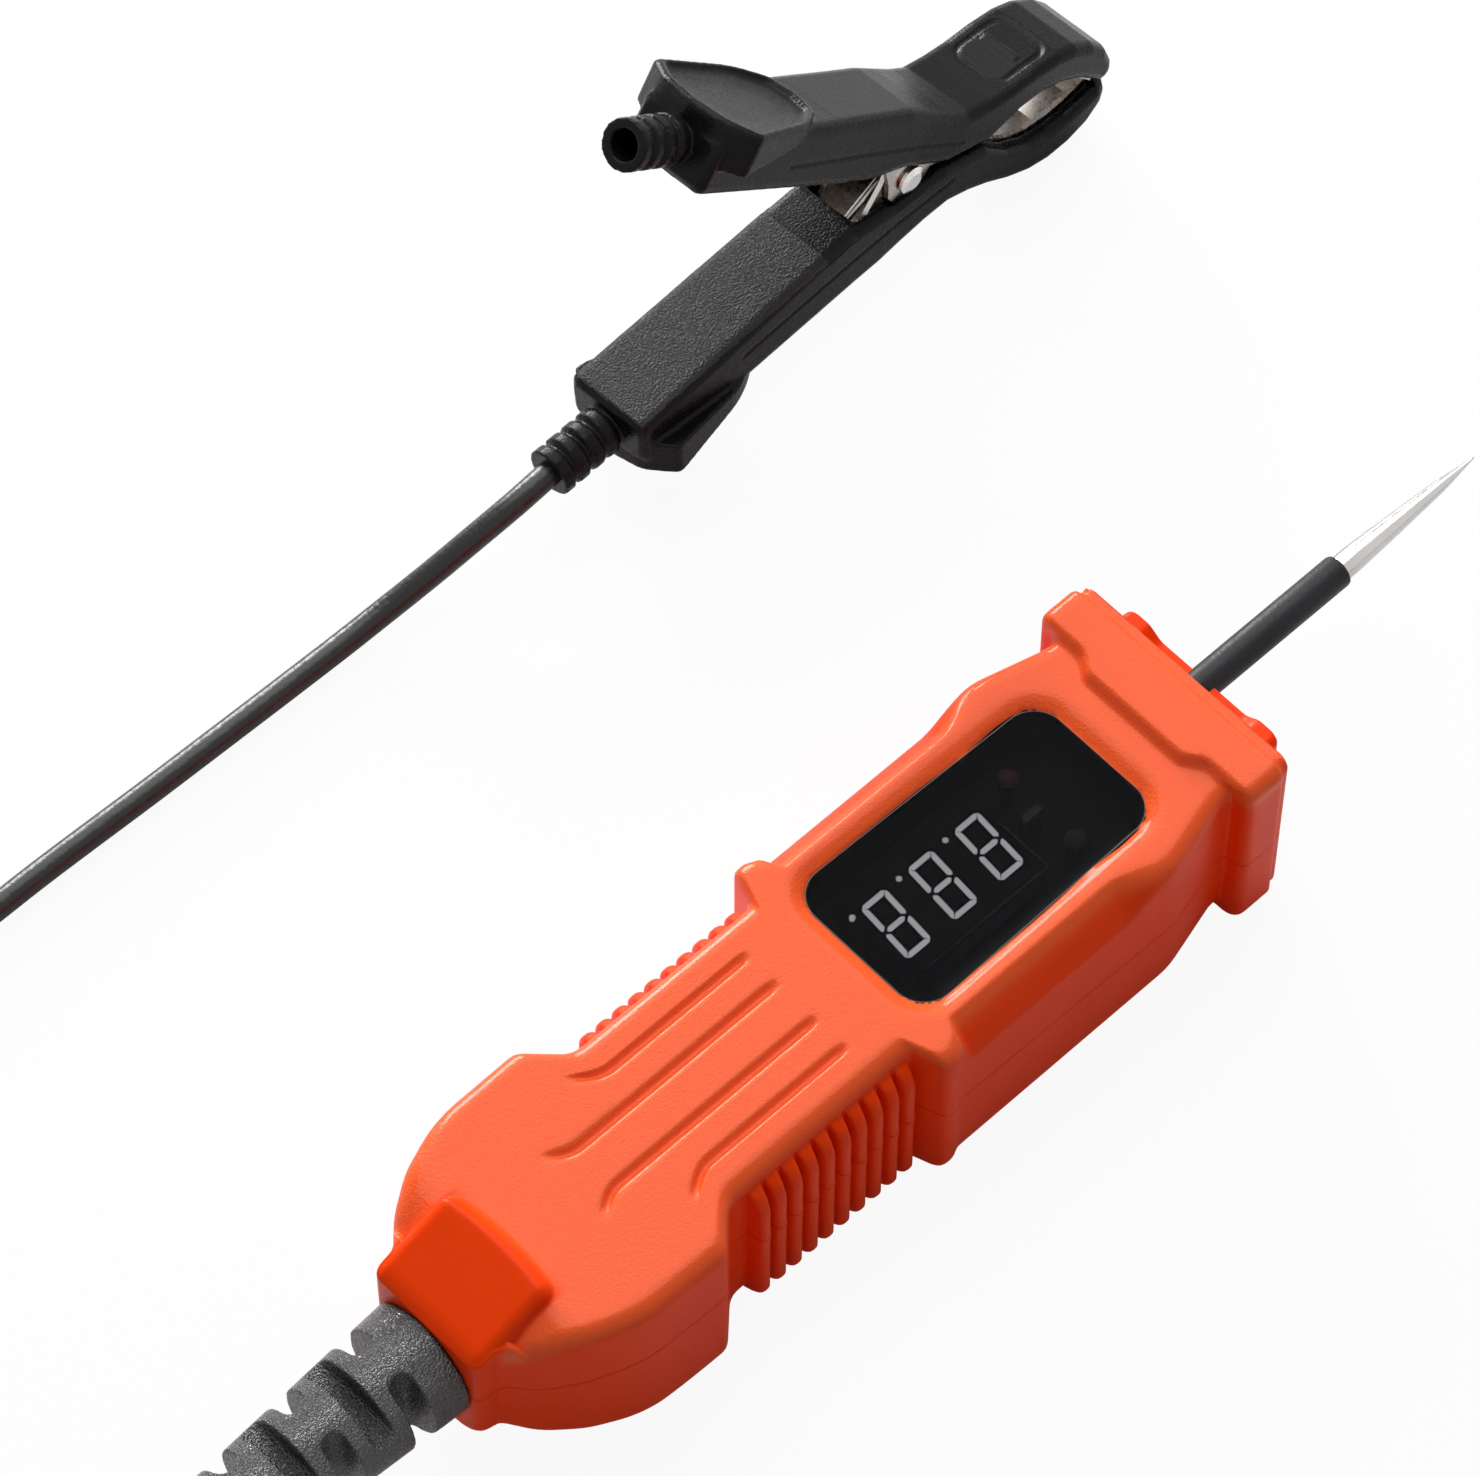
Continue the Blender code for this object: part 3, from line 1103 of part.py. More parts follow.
def grip_section(u, outer, inner, half):
    """Rounded box section of a grip across u."""
    radius = min(1.3 * MM, 0.45 * (inner - outer), 0.45 * half)
    loop = rounded_path([(half, inner, radius), (half, outer, radius),
                         (-half, outer, radius), (-half, inner, radius)], 2)
    return [(u, point.x, point.y) for point in loop]


def pad_outline(grow=0.0):
    """Thumb pad in plan: blunt at the rear, widest early, leaf shaped towards the front."""
    half = [(-grow, 0.0, 0.0), (-grow, 0.55 * PAD_HALF, 3.0 * MM),
            (0.2 * PAD_LENGTH, PAD_HALF + grow, 5.0 * MM),
            (0.66 * PAD_LENGTH, 0.82 * PAD_HALF + grow, 12.0 * MM),
            (PAD_LENGTH + grow, 0.28 * PAD_HALF, 3.0 * MM), (PAD_LENGTH + grow, 0.0, 0.0)]
    return mirrored_plan(rounded_path(half, 3))


def pad_wedge(mesh):
    """Thin the pad from its rear to its front by scaling its height along u."""
    rear, front = PAD_THICK + PAD_ROOT, PAD_TIP_THICK + PAD_ROOT
    for vertex in mesh.vertices:
        vertex.co.z *= 1.0 - (1.0 - front / rear) * vertex.co.x / PAD_LENGTH
    return mesh


def stub_profile():
    """Ringed stub behind the handle, from inside the handle outwards."""
    profile = [(4 * MM, STUB_RADIUS - STUB_GROOVE), (0.0, STUB_RADIUS - STUB_GROOVE)]
    pitch = STUB_LENGTH / STUB_RINGS
    for ring in range(STUB_RINGS):
        start = -pitch * ring - 0.35 * pitch
        end = -pitch * (ring + 1)
        profile += [(start, STUB_RADIUS - STUB_GROOVE), (start, STUB_RADIUS), (end, STUB_RADIUS)]
        if ring < STUB_RINGS - 1:
            profile.append((end, STUB_RADIUS - STUB_GROOVE))
    return profile


def jaw_outline(grow=0.0, tall=0.0):
    """Side view of a pressed jaw: floor, flanges that follow the mouth, and the pivot ear."""
    floor = [(43.0, 12.6), (56.5, 12.0), (64.0, 8.4), (71.5, 4.4), (78.0, 2.2), (84.3, 3.6)]
    outline = [(u * MM, z * MM - grow) for u, z in floor]
    outline[0] = (outline[0][0] - grow, outline[0][1])
    outline[-1] = (outline[-1][0] + grow, outline[-1][1])
    short = JAW_PROUD / 3
    outline.append((85.6 * MM + grow, mating_z(85.6 * MM) - short))
    for u in (84.0, 81.5, 78.0, 74.0, 70.0, 67.5, 62.5):
        u *= MM
        outline.append((u, mating_z(u) - short - mouth(u) + tall))
    for degrees in (-20, 15, 55, 95, 130, 165):
        angle = math.radians(degrees)
        radius = EAR_RADIUS + grow
        outline.append((PIVOT_U + radius * math.cos(angle), PIVOT_Z + radius * math.sin(angle)))
    outline.append(((43.0 * MM - grow), 15.4 * MM + tall))
    return outline


def side_prism(name, outline, half_low, half_high):
    """Extrude a side view (u, z) across the clip."""
    mesh = prism(name, outline, half_low, half_high)
    return transformed(mesh, Matrix.Rotation(math.pi / 2, 4, "X") @ Matrix.Diagonal((1, 1, -1, 1)))


def build_grip(name, clip, plastic, jaw_half, upper):
    """One moulded half of the clip, with its thumb pad, stub and jaw pocket."""
    matrix = clip_mirror() if upper else Matrix.Identity(4)
    grip = place(name, transformed(loft(name, [grip_section(*s) for s in grip_stations()]),
                                   matrix), plastic, clip)
    outwards = (Matrix.Translation((0.8 * MM, 0, HANDLE_OUTER_Z + PAD_ROOT))
                @ Matrix.Diagonal((1, 1, -1, 1)))
    rim = PAD_ROOT + PAD_THICK
    pad = transformed(pad_wedge(prism(name + "_pad", pad_outline(), 0.0, rim, 0.6 * MM, 2)),
                      outwards)
    dish = transformed(pad_wedge(prism(name + "_dish", pad_outline(-PAD_RIM), rim - PAD_RECESS,
                                       rim + WALL)), outwards)
    stub = transformed(turned(name + "_stub", stub_profile(), 16),
                       Matrix.Translation((0, 0, STUB_Z)))
    add(grip, tool(name + "_pad", transformed(pad, matrix), clip),
        tool(name + "_stub", transformed(stub, matrix), clip))
    pocket = side_prism(name + "_pocket", jaw_outline(GAP, 3 * MM), -jaw_half - GAP,
                        jaw_half + GAP)
    throat = box(name + "_throat", (41.5 * MM, -jaw_half - GAP, 12.0 * MM),
                 (56.5 * MM, jaw_half + GAP, PIVOT_Z + 2 * MM))
    relief = side_hole(name + "_relief", EAR_RADIUS + 2 * GAP, UPPER_JAW_HALF + GAP)
    cut(grip, tool(name + "_dish", transformed(dish, matrix), clip),
        tool(name + "_pocket", transformed(pocket, matrix), clip),
        tool(name + "_throat", transformed(throat, matrix), clip),
        tool(name + "_relief", relief, clip))
    if upper:
        bore = transformed(turned(name + "_bore", [(-STUB_LENGTH + 9 * MM, STUB_BORE),
                                                   (-STUB_LENGTH - WALL, STUB_BORE)], 16),
                           Matrix.Translation((0, 0, STUB_Z)))
        cut(grip, tool(name + "_bore", transformed(bore, matrix), clip))
    return grip


def build_jaw(name, clip, steel, half, upper):
    """One pressed steel jaw: a channel with an ear on each side for the rivet."""
    matrix = clip_mirror() if upper else Matrix.Identity(4)
    jaw = place(name, transformed(side_prism(name, jaw_outline(), -half, half), matrix),
                steel, clip)
    inside = [(u, z + JAW_SHEET) for u, z in jaw_outline()[:6]]
    nose = inside[5][0] - JAW_SHEET
    inside[0] = (39 * MM, inside[0][1])
    inside[5] = (nose, inside[5][1])
    inside += [(nose, 32 * MM), (39 * MM, 32 * MM)]
    hollow = side_prism(name + "_hollow", inside, -half + JAW_SHEET, half - JAW_SHEET)
    hole = side_hole(name + "_hole", RIVET_RADIUS + GAP, half + WALL)
    cut(jaw, tool(name + "_hollow", transformed(hollow, matrix), clip),
        tool(name + "_hole", hole, clip))
    return jaw


def side_hole(name, radius, half):
    """A round bar across the clip at its pivot."""
    return transformed(turned(name, [(-half, radius), (half, radius)], 20),
                       Matrix.Translation((PIVOT_U, 0, PIVOT_Z)) @ Matrix.Rotation(math.pi / 2, 4, "Z"))


def build_rivet(clip, steel):
    half = UPPER_JAW_HALF + GAP
    profile = [(-half - RIVET_HEAD_HEIGHT, RIVET_HEAD_RADIUS * 0.6),
               (-half - RIVET_HEAD_HEIGHT * 0.5, RIVET_HEAD_RADIUS),
               (-half, RIVET_HEAD_RADIUS), (-half, RIVET_RADIUS),
               (half, RIVET_RADIUS), (half, RIVET_HEAD_RADIUS),
               (half + RIVET_HEAD_HEIGHT * 0.5, RIVET_HEAD_RADIUS),
               (half + RIVET_HEAD_HEIGHT, RIVET_HEAD_RADIUS * 0.6)]
    mesh = transformed(turned("clip_rivet", profile, 20), Matrix.Rotation(math.pi / 2, 4, "Z"))
    place("clip_rivet", mesh, steel, clip, (PIVOT_U, 0, PIVOT_Z))


def build_spring(clip, steel):
    """Torsion spring: a coil round the rivet and a leg along each handle."""
    half = (SPRING_TURNS + 0.5) * (2 * SPRING_WIRE + 0.1 * MM) / 2
    tip_z = HANDLE_INNER_Z + HANDLE_SWELL - 2.4 * MM
    lower_tip = Vector((42.4 * MM, -half, tip_z))
    upper_tip = clip_mirror() @ Vector((42.4 * MM, half, tip_z))
    start = math.radians(205) + BISECTOR
    sweep = 2 * math.pi * SPRING_TURNS + math.radians(-50)
    steps = 12 * SPRING_TURNS
    coil = []
    for step in range(steps + 1):
        angle = start + sweep * step / steps
        coil.append(Vector((PIVOT_U + SPRING_RADIUS * math.cos(angle),
                            -half + 2 * half * step / steps,
                            PIVOT_Z + SPRING_RADIUS * math.sin(angle))))
    wire("clip_spring", [lower_tip] + coil + [upper_tip], SPRING_WIRE, steel, clip, 1)


def main():
    orange = make_material("orange_plastic", (0.82, 0.10, 0.01), 0.45)
    black = make_material("black_plastic", (0.012, 0.012, 0.013), 0.5)
    rubber = make_material("black_rubber", (0.02, 0.02, 0.021), 0.6)
    vinyl = make_material("black_vinyl", (0.015, 0.015, 0.016), 0.45)
    smoked = make_material("smoked_window", (0.008, 0.008, 0.009), 0.08)
    resin = make_material("module_resin", (0.35, 0.36, 0.36), 0.4)
    laminate = make_material("board_laminate", (0.01, 0.02, 0.015), 0.5)
    chip_plastic = make_material("chip_plastic", (0.02, 0.02, 0.02), 0.6)
    red = make_material("red_lamp", (0.25, 0.02, 0.02), 0.3)
    green = make_material("green_lamp", (0.05, 0.09, 0.06), 0.3)
    clear = make_material("bar_lamp", (0.09, 0.09, 0.09), 0.3)
    steel = make_material("bright_steel", (0.62, 0.61, 0.58), 0.25, 1.0)
    brass = make_material("brass", (0.7, 0.5, 0.2), 0.3, 1.0)
    insulation = make_material("lead_insulation", (0.02, 0.02, 0.02), 0.5)
    strap = make_material("strap", (0.03, 0.03, 0.03), 0.8)

    tester = make_empty("tester", (TESTER_X, 0, 0))
    upper = build_upper_shell(tester, orange)
    lower = build_lower_shell(tester, orange)
    cut_shell_bores(upper, lower, tester)
    build_window(tester, smoked)
    build_module(tester, resin)
    build_board(tester, laminate, chip_plastic, black)
    build_indicators(tester, red, green, clear)
    build_screws(tester, steel)
    build_probe(tester, steel, rubber, brass)
    build_inner_leads(tester, insulation)
    build_boot(tester, rubber)
    build_lead(tester, vinyl, strap)

    clip = make_empty("clip", (TESTER_X + CLIP_X, CLIP_Y, CLIP_LIFT), CLIP_YAW, -CLIP_ROLL)
    build_grip("clip_lower_grip", clip, black, LOWER_JAW_HALF, False)
    build_jaw("clip_lower_jaw", clip, steel, LOWER_JAW_HALF, False)
    build_grip("clip_upper_grip", clip, black, UPPER_JAW_HALF, True)
    build_jaw("clip_upper_jaw", clip, steel, UPPER_JAW_HALF, True)
    build_rivet(clip, steel)
    build_spring(clip, steel)


for old in list(bpy.data.objects):
    bpy.data.objects.remove(old)
PARTS = make_collection("automotive_circuit_tester")
TOOLS = make_collection("tools")
main()
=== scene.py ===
import math

import bmesh
import bpy
import numpy as np
from mathutils import Matrix, Vector


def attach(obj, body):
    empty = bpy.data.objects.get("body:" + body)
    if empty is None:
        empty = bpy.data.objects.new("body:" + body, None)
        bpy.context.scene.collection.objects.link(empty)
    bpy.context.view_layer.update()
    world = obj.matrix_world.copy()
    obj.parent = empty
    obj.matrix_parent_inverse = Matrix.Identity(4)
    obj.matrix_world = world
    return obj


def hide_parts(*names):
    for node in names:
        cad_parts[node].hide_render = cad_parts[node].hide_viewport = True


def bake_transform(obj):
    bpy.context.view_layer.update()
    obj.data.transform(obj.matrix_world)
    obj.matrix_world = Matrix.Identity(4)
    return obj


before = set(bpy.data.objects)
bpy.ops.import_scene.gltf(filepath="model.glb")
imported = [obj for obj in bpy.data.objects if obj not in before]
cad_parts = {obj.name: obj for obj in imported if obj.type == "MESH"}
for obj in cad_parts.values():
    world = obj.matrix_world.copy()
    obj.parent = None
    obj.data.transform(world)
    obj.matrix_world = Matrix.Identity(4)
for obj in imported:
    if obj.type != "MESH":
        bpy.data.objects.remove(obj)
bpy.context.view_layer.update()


def feed(tree, socket, value):
    """Give a node's input a value, or join another node's output to it."""
    if isinstance(value, bpy.types.NodeSocket):
        tree.links.new(value, socket)
    else:
        socket.default_value = value


def number_step(tree, operation, *values):
    """The output of a number node that works on numbers or on other nodes' outputs."""
    node = tree.nodes.new("ShaderNodeMath")
    node.operation = operation
    for socket, value in zip(node.inputs, values):
        feed(tree, socket, value)
    return node.outputs[0]


def colour_mix(tree, share, first, second):
    """The output of a node that goes from the first colour to the second by some share."""
    node = tree.nodes.new("ShaderNodeMix")
    node.data_type = "RGBA"
    for label, value in (("Factor", share), ("A", first), ("B", second)):
        feed(tree, node.inputs[label], value)
    return node.outputs["Result"]


# View and light. The tester lies on a pale table, seen from above its right rear, with a large
# soft light high up beyond it and a smaller one low down beyond it.

TURN, DOWN = math.radians(43.4), math.radians(59.2)
camera = bpy.data.objects.new("camera", bpy.data.cameras.new("camera"))
camera.data.sensor_fit = "HORIZONTAL"
camera.data.sensor_width = 36.0
camera.data.lens = 177.57
camera.data.clip_end = 20.0
camera.location = (-0.30263, -0.30283, 0.80074)
camera.rotation_euler = (math.pi / 2 - DOWN, 0.0, -TURN)
bpy.context.scene.collection.objects.link(camera)
bpy.context.scene.camera = camera
bpy.context.scene.view_settings.view_transform = "Standard"


def soft_light(name, place, size, watts):
    """A square area light of some size in metres, turned towards the middle of the object."""
    lamp = bpy.data.objects.new(name, bpy.data.lights.new(name, "AREA"))
    lamp.data.size = size
    lamp.data.energy = watts
    lamp.location = place
    aim = Vector((-0.02, 0.03, 0.02)) - Vector(place)
    lamp.rotation_euler = aim.to_track_quat("-Z", "Y").to_euler()
    bpy.context.scene.collection.objects.link(lamp)


soft_light("ceiling_light", (0.42, 0.46, 1.1), 1.2, 13.5)
soft_light("window_light", (0.42, 1.15, 0.34), 0.5, 18.0)

world = bpy.data.worlds.new("studio")
world.use_nodes = True
bpy.context.scene.world = world
nodes, links = world.node_tree.nodes, world.node_tree.links
nodes.clear()
room = nodes.new("ShaderNodeBackground")
room.inputs["Color"].default_value = (0.95, 0.97, 1.0, 1.0)
room.inputs["Strength"].default_value = 0.16
white = nodes.new("ShaderNodeBackground")
white.inputs["Color"].default_value = (1.0, 1.0, 1.0, 1.0)
rays = nodes.new("ShaderNodeLightPath")
shown = rays.outputs["Is Camera Ray"]
for kind in ("Is Transmission Ray", "Is Glossy Ray"):
    shown = number_step(world.node_tree, "MAXIMUM", shown, rays.outputs[kind])
pick = nodes.new("ShaderNodeMixShader")
out = nodes.new("ShaderNodeOutputWorld")
links.new(shown, pick.inputs[0])
links.new(room.outputs[0], pick.inputs[1])
links.new(white.outputs[0], pick.inputs[2])
links.new(pick.outputs[0], out.inputs[0])

table = bpy.data.objects.new("table", bpy.data.meshes.new("table"))
table.data.from_pydata([(-6, -6, -0.0004), (6, -6, -0.0004), (6, 6, -0.0004), (-6, 6, -0.0004)],
                       [], [(0, 1, 2, 3)])
bpy.context.scene.collection.objects.link(table)
paper = bpy.data.materials.new("paper")
paper.use_nodes = True
nodes, links = paper.node_tree.nodes, paper.node_tree.links
sheet = nodes["Principled BSDF"]
sheet.inputs["Base Color"].default_value = (0.86, 0.86, 0.86, 1.0)
sheet.inputs["Roughness"].default_value = 0.9
glow = nodes.new("ShaderNodeEmission")
glow.inputs["Color"].default_value = (1.0, 1.0, 1.0, 1.0)
rays = nodes.new("ShaderNodeLightPath")
share = number_step(paper.node_tree, "MULTIPLY", rays.outputs["Is Camera Ray"], 0.93)
pick = nodes.new("ShaderNodeMixShader")
links.new(share, pick.inputs[0])
links.new(sheet.outputs[0], pick.inputs[1])
links.new(glow.outputs[0], pick.inputs[2])
links.new(pick.outputs[0], nodes["Material Output"].inputs["Surface"])
table.data.materials.append(paper)


# Lead. One black round cable of 3.5 mm: out of the strain relief, down to the table, into a
# flat coil of eight turns held by a strap, and on to the earth clip.

HOME = 0.02335
CORD = 0.00175


def smooth_route(knots, step):
    """Even points about one step apart on the Catmull-Rom curve through the knots."""
    p = np.array(knots, float)
    p = np.vstack([2 * p[0] - p[1], p, 2 * p[-1] - p[-2]])
    a, b, c, d = (p[i:len(p) - 3 + i, None, :] for i in range(4))
    t = np.linspace(0, 1, 24, endpoint=False)[None, :, None]
    fine = 0.5 * (2 * b + (c - a) * t + (2 * a - 5 * b + 4 * c - d) * t ** 2
                  + (3 * b - a - 3 * c + d) * t ** 3)
    fine = np.vstack([fine.reshape(-1, 3), p[-2]])
    run = np.concatenate([[0], np.cumsum(np.linalg.norm(np.diff(fine, axis=0), axis=1))])
    even = np.linspace(0, run[-1], max(3, int(round(run[-1] / step)) + 1))
    return np.stack([np.interp(even, run, fine[:, i]) for i in range(3)], -1)


def step_up(x, low, high):
    """0 below low, 1 above high, and a smooth cubic between them."""
    t = np.clip((x - low) / (high - low), 0, 1)
    return t * t * (3 - 2 * t)


def clip_place(points):
    """From the clip's own frame, u to the tip, v across and z up in mm, to the row frame."""
    matrix = (Matrix.Translation((HOME + 0.0172, 0.0843, 0.0004))
              @ Matrix.Rotation(math.radians(2.0), 4, "Z")
              @ Matrix.Rotation(math.radians(-3.6), 4, "X"))
    turn = np.array(matrix.to_3x3())
    return np.asarray(points, float) * 0.001 @ turn.T + np.array(matrix.translation)


COIL_RADIUS = 0.0245
LAP_STEP = 0.0035
COIL = np.array([HOME - 0.196, COIL_RADIUS])
LOW, HIGH = 0.00265, 0.00615
turned = np.radians(np.linspace(0, 7.5 * 360, 7 * 44 + 22)[1:-1])
laps = turned / (2 * math.pi)
ring = sum(step_up(laps, k - 50 / 360, k) for k in (1, 2, 3)) - sum(
    step_up(laps, k - 50 / 360, k) for k in (5, 6, 7))
radius = COIL_RADIUS - LAP_STEP * ring
height = LOW + (HIGH - LOW) * step_up(laps, 4 - 125 / 360, 4 - 50 / 360)
angle = -math.pi / 2 - turned
coil = np.stack([COIL[0] + radius * np.cos(angle), COIL[1] + radius * np.sin(angle), height], -1)
boot_end = np.array([HOME - 0.1353, 0.0, 0.0176])
lead_out = smooth_route([
    boot_end, boot_end + (-0.0077, 0, -0.0008), boot_end + (-0.0177, 0, -0.005),
    (boot_end[0] - 0.0277, 0, LOW + 0.0016), (boot_end[0] - 0.0377, 0, LOW),
    (COIL[0] + 0.0138, 0, LOW), (COIL[0], 0, LOW)], 0.0022)
far_side = COIL[1] + COIL_RADIUS
lead_on = smooth_route([
    (COIL[0], far_side, HIGH), (COIL[0] + 0.0138, far_side, HIGH),
    (COIL[0] + 0.0238, far_side + 0.0008, HIGH - 0.0018),
    (COIL[0] + 0.0338, far_side + 0.0034, 0.0018),
    (COIL[0] + 0.052, far_side + 0.0145, 0.0018), (COIL[0] + 0.076, far_side + 0.029, 0.0018),
    (HOME - 0.101, 0.0882, 0.0018), (HOME - 0.082, 0.0894, 0.0018), (HOME - 0.056, 0.0889, 0.0018),
    (HOME - 0.030, 0.0885, 0.0018), (HOME - 0.020, 0.0880, 0.0028), (HOME - 0.0125, 0.0866, 0.0058),
    (HOME - 0.005, 0.0852, 0.0092), clip_place((-16.05, 0, 10.9)),
    clip_place((-10.7, 0, 11.2)), clip_place((2, 0, 11.3)), clip_place((14, 0, 11.4)),
    clip_place((26, 0, 11.6))], 0.0025)
lead_path = np.vstack([lead_out, coil, lead_on])


def material(name, colour, roughness, metallic=0.0, gloss=0.5):
    """A finish with its plain colour, roughness, metal share and specular level."""
    finish = bpy.data.materials.new(name)
    finish.use_nodes = True
    shader = finish.node_tree.nodes["Principled BSDF"]
    shader.inputs["Base Color"].default_value = (*colour, 1.0)
    shader.inputs["Roughness"].default_value = roughness
    shader.inputs["Metallic"].default_value = metallic
    shader.inputs["Specular IOR Level"].default_value = gloss
    return finish


def new_group(name, inputs, outputs):
    """An empty effect with named number or vector inputs and outputs."""
    group = bpy.data.node_groups.new(name, "ShaderNodeTree")
    for label, value in inputs.items():
        kind = "NodeSocketVector" if value is None else "NodeSocketFloat"
        socket = group.interface.new_socket(label, in_out="INPUT", socket_type=kind)
        if value is not None:
            socket.default_value = value
    for label in outputs:
        group.interface.new_socket(label, in_out="OUTPUT", socket_type="NodeSocketFloat")
    return group, group.nodes.new("NodeGroupInput"), group.nodes.new("NodeGroupOutput")


# Moulded grain: fine peaks of one size over a slow unevenness, for every plastic and rubber
grain, given, gives = new_group("moulded_grain", {"Place": None, "Peaks per metre": 2500.0,
                                                  "Roundness": 0.5}, ("Height", "Tone"))
fine = grain.nodes.new("ShaderNodeTexNoise")
fine.inputs["Detail"].default_value = 2.0
slow = grain.nodes.new("ShaderNodeTexNoise")
slow.inputs["Scale"].default_value = 90.0
slow.inputs["Detail"].default_value = 3.0
peak = grain.nodes.new("ShaderNodeMapRange")
peak.inputs["From Min"].default_value = 0.35
peak.inputs["From Max"].default_value = 0.65
grain.links.new(given.outputs["Place"], fine.inputs["Vector"])
grain.links.new(given.outputs["Peaks per metre"], fine.inputs["Scale"])
grain.links.new(given.outputs["Roundness"], fine.inputs["Roughness"])
grain.links.new(given.outputs["Place"], slow.inputs["Vector"])
grain.links.new(fine.outputs["Fac"], peak.inputs["Value"])
grain.links.new(peak.outputs["Result"], gives.inputs["Height"])
grain.links.new(slow.outputs["Fac"], gives.inputs["Tone"])


def grained(finish, peaks, depth, dark, light, rough=(0.4, 0.5), mask=None, painted_light=None):
    """Put the moulded grain on a finish: bump of some depth, two tones, two roughnesses. Where a
    piece carries the mask, the grain is fainter outside it and a lighter colour, painted light, shows
    inside it."""
    tree = finish.node_tree
    shader = tree.nodes["Principled BSDF"]
    place = tree.nodes.new("ShaderNodeTexCoord")
    effect = tree.nodes.new("ShaderNodeGroup")
    effect.node_tree = grain
    effect.inputs["Peaks per metre"].default_value = peaks
    bump = tree.nodes.new("ShaderNodeBump")
    bump.inputs["Distance"].default_value = depth
    bump.inputs["Strength"].default_value = 0.6
    gloss = tree.nodes.new("ShaderNodeMapRange")
    gloss.inputs["To Min"].default_value, gloss.inputs["To Max"].default_value = rough
    tree.links.new(place.outputs["Object"], effect.inputs["Place"])
    height = effect.outputs["Height"]
    colour = colour_mix(tree, effect.outputs["Tone"], (*dark, 1.0), (*light, 1.0))
    if mask:
        where = tree.nodes.new("ShaderNodeAttribute")
        where.attribute_name = mask
        share = number_step(tree, "MULTIPLY_ADD", where.outputs["Fac"], 0.85, 0.15)
        height = number_step(tree, "MULTIPLY", share, height)
        # inside the mask a lighter colour is painted: painted light
        colour = colour_mix(tree, where.outputs["Fac"], colour, (*painted_light, 1.0))
    tree.links.new(height, bump.inputs["Height"])
    tree.links.new(bump.outputs["Normal"], shader.inputs["Normal"])
    tree.links.new(colour, shader.inputs["Base Color"])
    tree.links.new(effect.outputs["Height"], gloss.inputs["Value"])
    tree.links.new(gloss.outputs["Result"], shader.inputs["Roughness"])
    return finish


def plain_mesh(name, verts, faces):
    """A mesh from points in metres and faces, all of them turned outwards."""
    mesh = bpy.data.meshes.new(name)
    mesh.from_pydata(np.asarray(verts, float).tolist(), [], faces)
    bm = bmesh.new()
    bm.from_mesh(mesh)
    bmesh.ops.recalc_face_normals(bm, faces=bm.faces)
    bm.to_mesh(mesh)
    bm.free()
    return mesh


def mesh_piece(name, verts, faces, finish, body="tester", stands_for=(), slot=None, sharp=40.0):
    """A piece of the object from points in metres and faces, smooth but for its sharp edges."""
    return show(name, plain_mesh(name, verts, faces), finish, body, stands_for, sharp)


def show(name, mesh, finish, body, stands_for, sharp):
    """Put a finished mesh on its body, in its finish, in place of the solids that it stands for."""
    mesh.shade_smooth()
    mesh.set_sharp_from_angle(angle=math.radians(sharp))
    mesh.materials.clear()
    mesh.materials.append(finish)
    piece = bpy.data.objects.new(name, mesh)
    bpy.context.scene.collection.objects.link(piece)
    if body:
        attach(piece, body)
    if stands_for:
        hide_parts(*stands_for)
    return piece


def skin(rings, caps=True):
    """Points and faces of a closed skin: quads join ring i to ring i + 1, every ring closes on
    itself, and a fan round its middle closes each end."""
    n, m = rings.shape[:2]
    i = np.arange(n - 1)[:, None] * m
    j = np.arange(m)[None, :]
    k = (j + 1) % m
    faces = np.stack([i + j, i + k, i + m + k, i + m + j], -1).reshape(-1, 4).tolist()
    verts = rings.reshape(-1, 3)
    if caps:
        verts = np.vstack([verts, rings[0].mean(0), rings[-1].mean(0)])
        last = (n - 1) * m
        faces += np.stack([k[0], j[0], np.full(m, n * m)], -1).tolist()
        faces += np.stack([last + j[0], last + k[0], np.full(m, n * m + 1)], -1).tolist()
    return verts, faces


def tube(path, radius, sides=16, across=(0.0, 0.0, 1.0)):
    """Rings of a round tube: path + radius * (cos a * side + sin a * up), with side = tangent x
    across and up = side x tangent."""
    path = np.asarray(path, float)
    along = np.gradient(path, axis=0)
    along /= np.linalg.norm(along, axis=1, keepdims=True)
    side = np.cross(along, across)
    side /= np.linalg.norm(side, axis=1, keepdims=True)
    up = np.cross(side, along)
    a = np.linspace(0, 2 * math.pi, sides, endpoint=False)
    r = np.broadcast_to(radius, len(path))[:, None, None]
    return path[:, None] + r * (np.cos(a)[None, :, None] * side[:, None]
                                + np.sin(a)[None, :, None] * up[:, None])


vinyl = grained(material("black_vinyl", (0.008, 0.008, 0.009), 0.35, gloss=0.35), 1500.0, 0.00003,
                (0.009, 0.009, 0.010), (0.016, 0.016, 0.017), (0.26, 0.36))
lead = mesh_piece("lead", *skin(tube(lead_path, CORD)), vinyl,
                  stands_for=("cord_rear", "cord_coil", "cord_front"), slot="lead")

# Strap round the coil: a woven hook and loop band, 6 mm wide, closed round all eight turns.

webbing = grained(material("woven_strap", (0.03, 0.03, 0.03), 0.85), 1800.0, 0.00008,
                  (0.018, 0.018, 0.018), (0.04, 0.04, 0.042), (0.8, 0.95))


